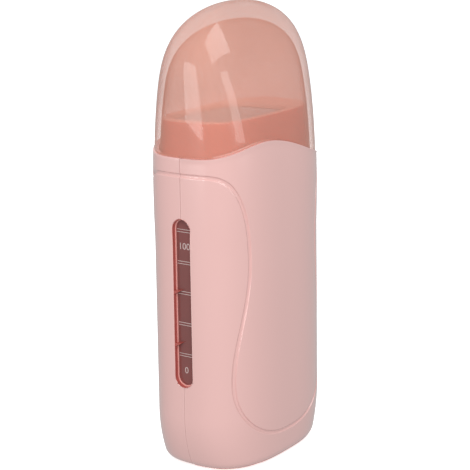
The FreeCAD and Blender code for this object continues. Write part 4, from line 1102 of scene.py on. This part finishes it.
coral = finish_of("collar_pink", (226, 94, 76), (220, 88, 70), (236, 132, 116),
                  relief=0.01, Smoothest=0.2, Roughest=0.3, Edge_Wear=0.3,
                  shader={"Coat Weight": 1.0, "Coat Roughness": 0.1, "Coat IOR": 1.6})
# Painted light: a paler coral on the deck's top and the well's mouth, for light from above.
deck_painted_light = finish_of("deck_painted_light_coral", (244, 190, 176), (238, 182, 168), (248, 204, 192),
                      relief=0.01, Smoothest=0.3, Roughest=0.42, Edge_Wear=0.3)
window_tint = finish_of("window_mauve_clear", (158, 84, 82), (118, 80, 76), (168, 100, 98),
                        relief=0.01, Drift_Scale=22.0, Smoothest=0.06, Roughest=0.12,
                        shader={"Transmission Weight": 0.1, "IOR": 1.49})
bezel_coral = finish_of("bezel_coral", (186, 92, 84), (170, 80, 74), (206, 116, 108),
                        Smoothest=0.2, Roughest=0.3)
seal_rose = finish_of("seal_rose", (250, 188, 180), (244, 176, 168), Smoothest=0.15,
                      Roughest=0.25)
print_white = finish_of("scale_white_ink", (214, 192, 188), (196, 174, 170),
                        Smoothest=0.45, Roughest=0.6)
cap.data.materials.append(cap_milk)
cap.data.materials.append(cap_inside)
collar.data.materials.append(coral)
collar.data.materials.append(deck_painted_light)
for piece, material in ((front, case_pink), (rear, case_pink), (window, window_tint),
                        (bezel, bezel_coral), (seal, seal_rose), (scale, print_white)):
    dress(piece, material)

# %% Finishes of the small and inner pieces
METAL = {"Metallic": 1.0}
SMALL_FINISHES = (
    ("switch_satin_dark", (58, 54, 56), (46, 43, 45), (92, 88, 90),
     dict(Smoothest=0.35, Roughest=0.5, Edge_Wear=0.5), ("switch_frame", "inlet_socket")),
    ("rocker_gloss_black", (40, 38, 40), (32, 30, 32), (78, 74, 76),
     dict(Smoothest=0.16, Roughest=0.24, Edge_Wear=0.4,
          shader={"Coat Weight": 0.5, "Coat Roughness": 0.06}), ("switch_paddle",)),
    ("lens_clear_red", (226, 60, 44), (206, 44, 34), (244, 120, 100),
     dict(Smoothest=0.05, Roughest=0.1, shader={"Transmission Weight": 0.6}), ("lamp_lens",)),
    ("foot_rubber", (52, 48, 50), (42, 40, 42), (70, 66, 68),
     dict(relief=0.3, Grain_Scale=2600.0, Smoothest=0.7, Roughest=0.9), ("soft_feet",)),
    ("base_satin_pink", (222, 168, 162), (214, 160, 154), (234, 184, 178),
     dict(relief=0.08, Smoothest=0.4, Roughest=0.52), ("base_plate",)),
    ("sleeve_brushed_aluminium", (226, 224, 223), (208, 207, 207), (238, 238, 238),
     dict(relief=0.12, Grain_Scale=2400.0, Grain_Stretch=0.04, Smoothest=0.34, Roughest=0.5,
          shader={"Metallic": 0.6}), ("heating_sleeve",)),
    ("band_spring_steel", (176, 178, 182), (154, 157, 162), (206, 208, 212),
     dict(relief=0.06, Smoothest=0.22, Roughest=0.38, shader=METAL),
     ("clamp_band_lower", "clamp_band_upper")),
    ("screw_zinc_plate", (196, 198, 204), (170, 172, 182), (226, 228, 232),
     dict(relief=0.05, Drift_Scale=120.0, Smoothest=0.2, Roughest=0.36, shader=METAL),
     ("clamp_screws", "shell_screws", "base_screws")),
    ("pin_nickel", (208, 202, 190), (190, 184, 172), (230, 226, 216),
     dict(Smoothest=0.12, Roughest=0.24, shader=METAL),
     ("thermal_fuse", "inlet_pins", "switch_terminals")),
    ("heater_mica_laminate", (196, 178, 142), (170, 150, 114), (216, 202, 172),
     dict(relief=0.1, Drift_Scale=70.0, Smoothest=0.3, Roughest=0.5),
     ("heater_front", "heater_rear")),
    ("carrier_heatproof_plastic", (214, 206, 196), (200, 192, 182), (228, 222, 214),
     dict(relief=0.15, Smoothest=0.5, Roughest=0.68), ("well_carrier",)),
    ("thermostat_phenolic", (44, 40, 38), (34, 31, 30), (76, 70, 66),
     dict(relief=0.12, Smoothest=0.35, Roughest=0.55), ("thermostat",)),
    ("board_green_mask", (34, 92, 58), (26, 78, 48), (70, 128, 92),
     dict(relief=0.05, Drift_Scale=90.0, Smoothest=0.22, Roughest=0.36), ("lamp_board",)),
    ("lamp_clear_resin", (236, 96, 84), (224, 80, 70), None,
     dict(Smoothest=0.06, Roughest=0.12, shader={"Transmission Weight": 0.7}),
     ("indicator_lamp",)),
    ("resistor_beige_coat", (206, 182, 146), (192, 168, 132), None,
     dict(relief=0.06, Smoothest=0.35, Roughest=0.5), ("board_resistor",)))

for name, main, drift, worn, values, wearers in SMALL_FINISHES:
    material = finish_of(name, main, drift, worn, **values)
    for wearer in wearers:
        dress(small_pieces[wearer], material)
cap.visible_shadow = False
print("finishes:", len(bpy.data.materials))

# %% [markdown]
# ## Floor and light
#
# The heater stands on a plain white floor that glows a little, so no edge of it shows. A key
# light from the corner shapes the two sides in view, a fill does the same for the other two,
# and a soft panel overhead lights the rim. Three panes show only in the gloss, as windows do,
# and a bright surround keeps the shadows open.

# %% The floor
FLOOR_HALF = 6.0
bm = bmesh.new()
bmesh.ops.create_grid(bm, x_segments=1, y_segments=1, size=FLOOR_HALF)
floor_mesh = bpy.data.meshes.new("floor")
bm.to_mesh(floor_mesh)
bm.free()
floor = added("floor", floor_mesh)
floor_pale = finish_of("floor_pale_matt", (250, 250, 250), (248, 248, 248), relief=0.0,
                       Smoothest=0.9, Roughest=1.0,
                       shader={"Specular IOR Level": 0.1, "Emission Color": (1, 1, 1, 1),
                               "Emission Strength": 0.64})
dress(floor, floor_pale)
floor.visible_diffuse = False
floor.visible_glossy = False

# %% Lights
AIM_HEIGHT = 0.15
SURROUND_LIGHT, SURROUND_SEEN = 0.53, 1.0


def panel_light(name, heading, height_angle, distance, wide, tall, brightness, seen_in_gloss):
    """A panel that faces the heater, placed by its direction from it in degrees."""
    turn, tilt = math.radians(heading), math.radians(height_angle)
    light = bpy.data.lights.new(name, "AREA")
    light.shape = "RECTANGLE"
    light.size, light.size_y = wide, tall
    light.energy = brightness * wide * tall * math.pi
    holder = added(name, light)
    towards = Vector((math.cos(turn) * math.cos(tilt), math.sin(turn) * math.cos(tilt),
                      math.sin(tilt)))
    holder.location = Vector((0, 0, AIM_HEIGHT)) + towards * distance
    holder.rotation_euler = towards.to_track_quat("Z", "Y").to_euler()
    holder.visible_glossy = seen_in_gloss
    holder.visible_diffuse = not seen_in_gloss


for panel in (("corner_key", -146.0, 30.0, 0.90, 0.64, 0.64, 4.1, False),
              ("overhead", -146.0, 84.0, 0.90, 0.50, 0.50, 1.2, False),
              ("rear_fill", 45.0, 26.0, 0.90, 0.64, 0.64, 2.4, False),
              ("left_pane", 166.5, 4.0, 0.75, 0.50, 0.34, 5.0, True),
              ("right_pane", -75.0, 8.0, 0.80, 0.22, 0.30, 4.0, True),
              ("upper_pane", -75.0, 44.0, 0.90, 0.80, 0.55, 4.5, True)):
    panel_light(*panel)
world = bpy.data.worlds.new("surround")
world.use_nodes = True
surround = world.node_tree.nodes["Background"]
surround.inputs["Color"].default_value = (1.0, 1.0, 1.0, 1.0)
sight = world.node_tree.nodes.new("ShaderNodeLightPath")
strength = ramp(world.node_tree.nodes, 0.0, 1.0, SURROUND_LIGHT, SURROUND_SEEN)
world.node_tree.links.new(sight.outputs["Is Camera Ray"], strength.inputs["Value"])
world.node_tree.links.new(strength.outputs["Result"], surround.inputs["Strength"])
bpy.context.scene.world = world
bpy.context.scene.view_settings.view_transform = "Standard"
print("lights:", len(bpy.data.lights))
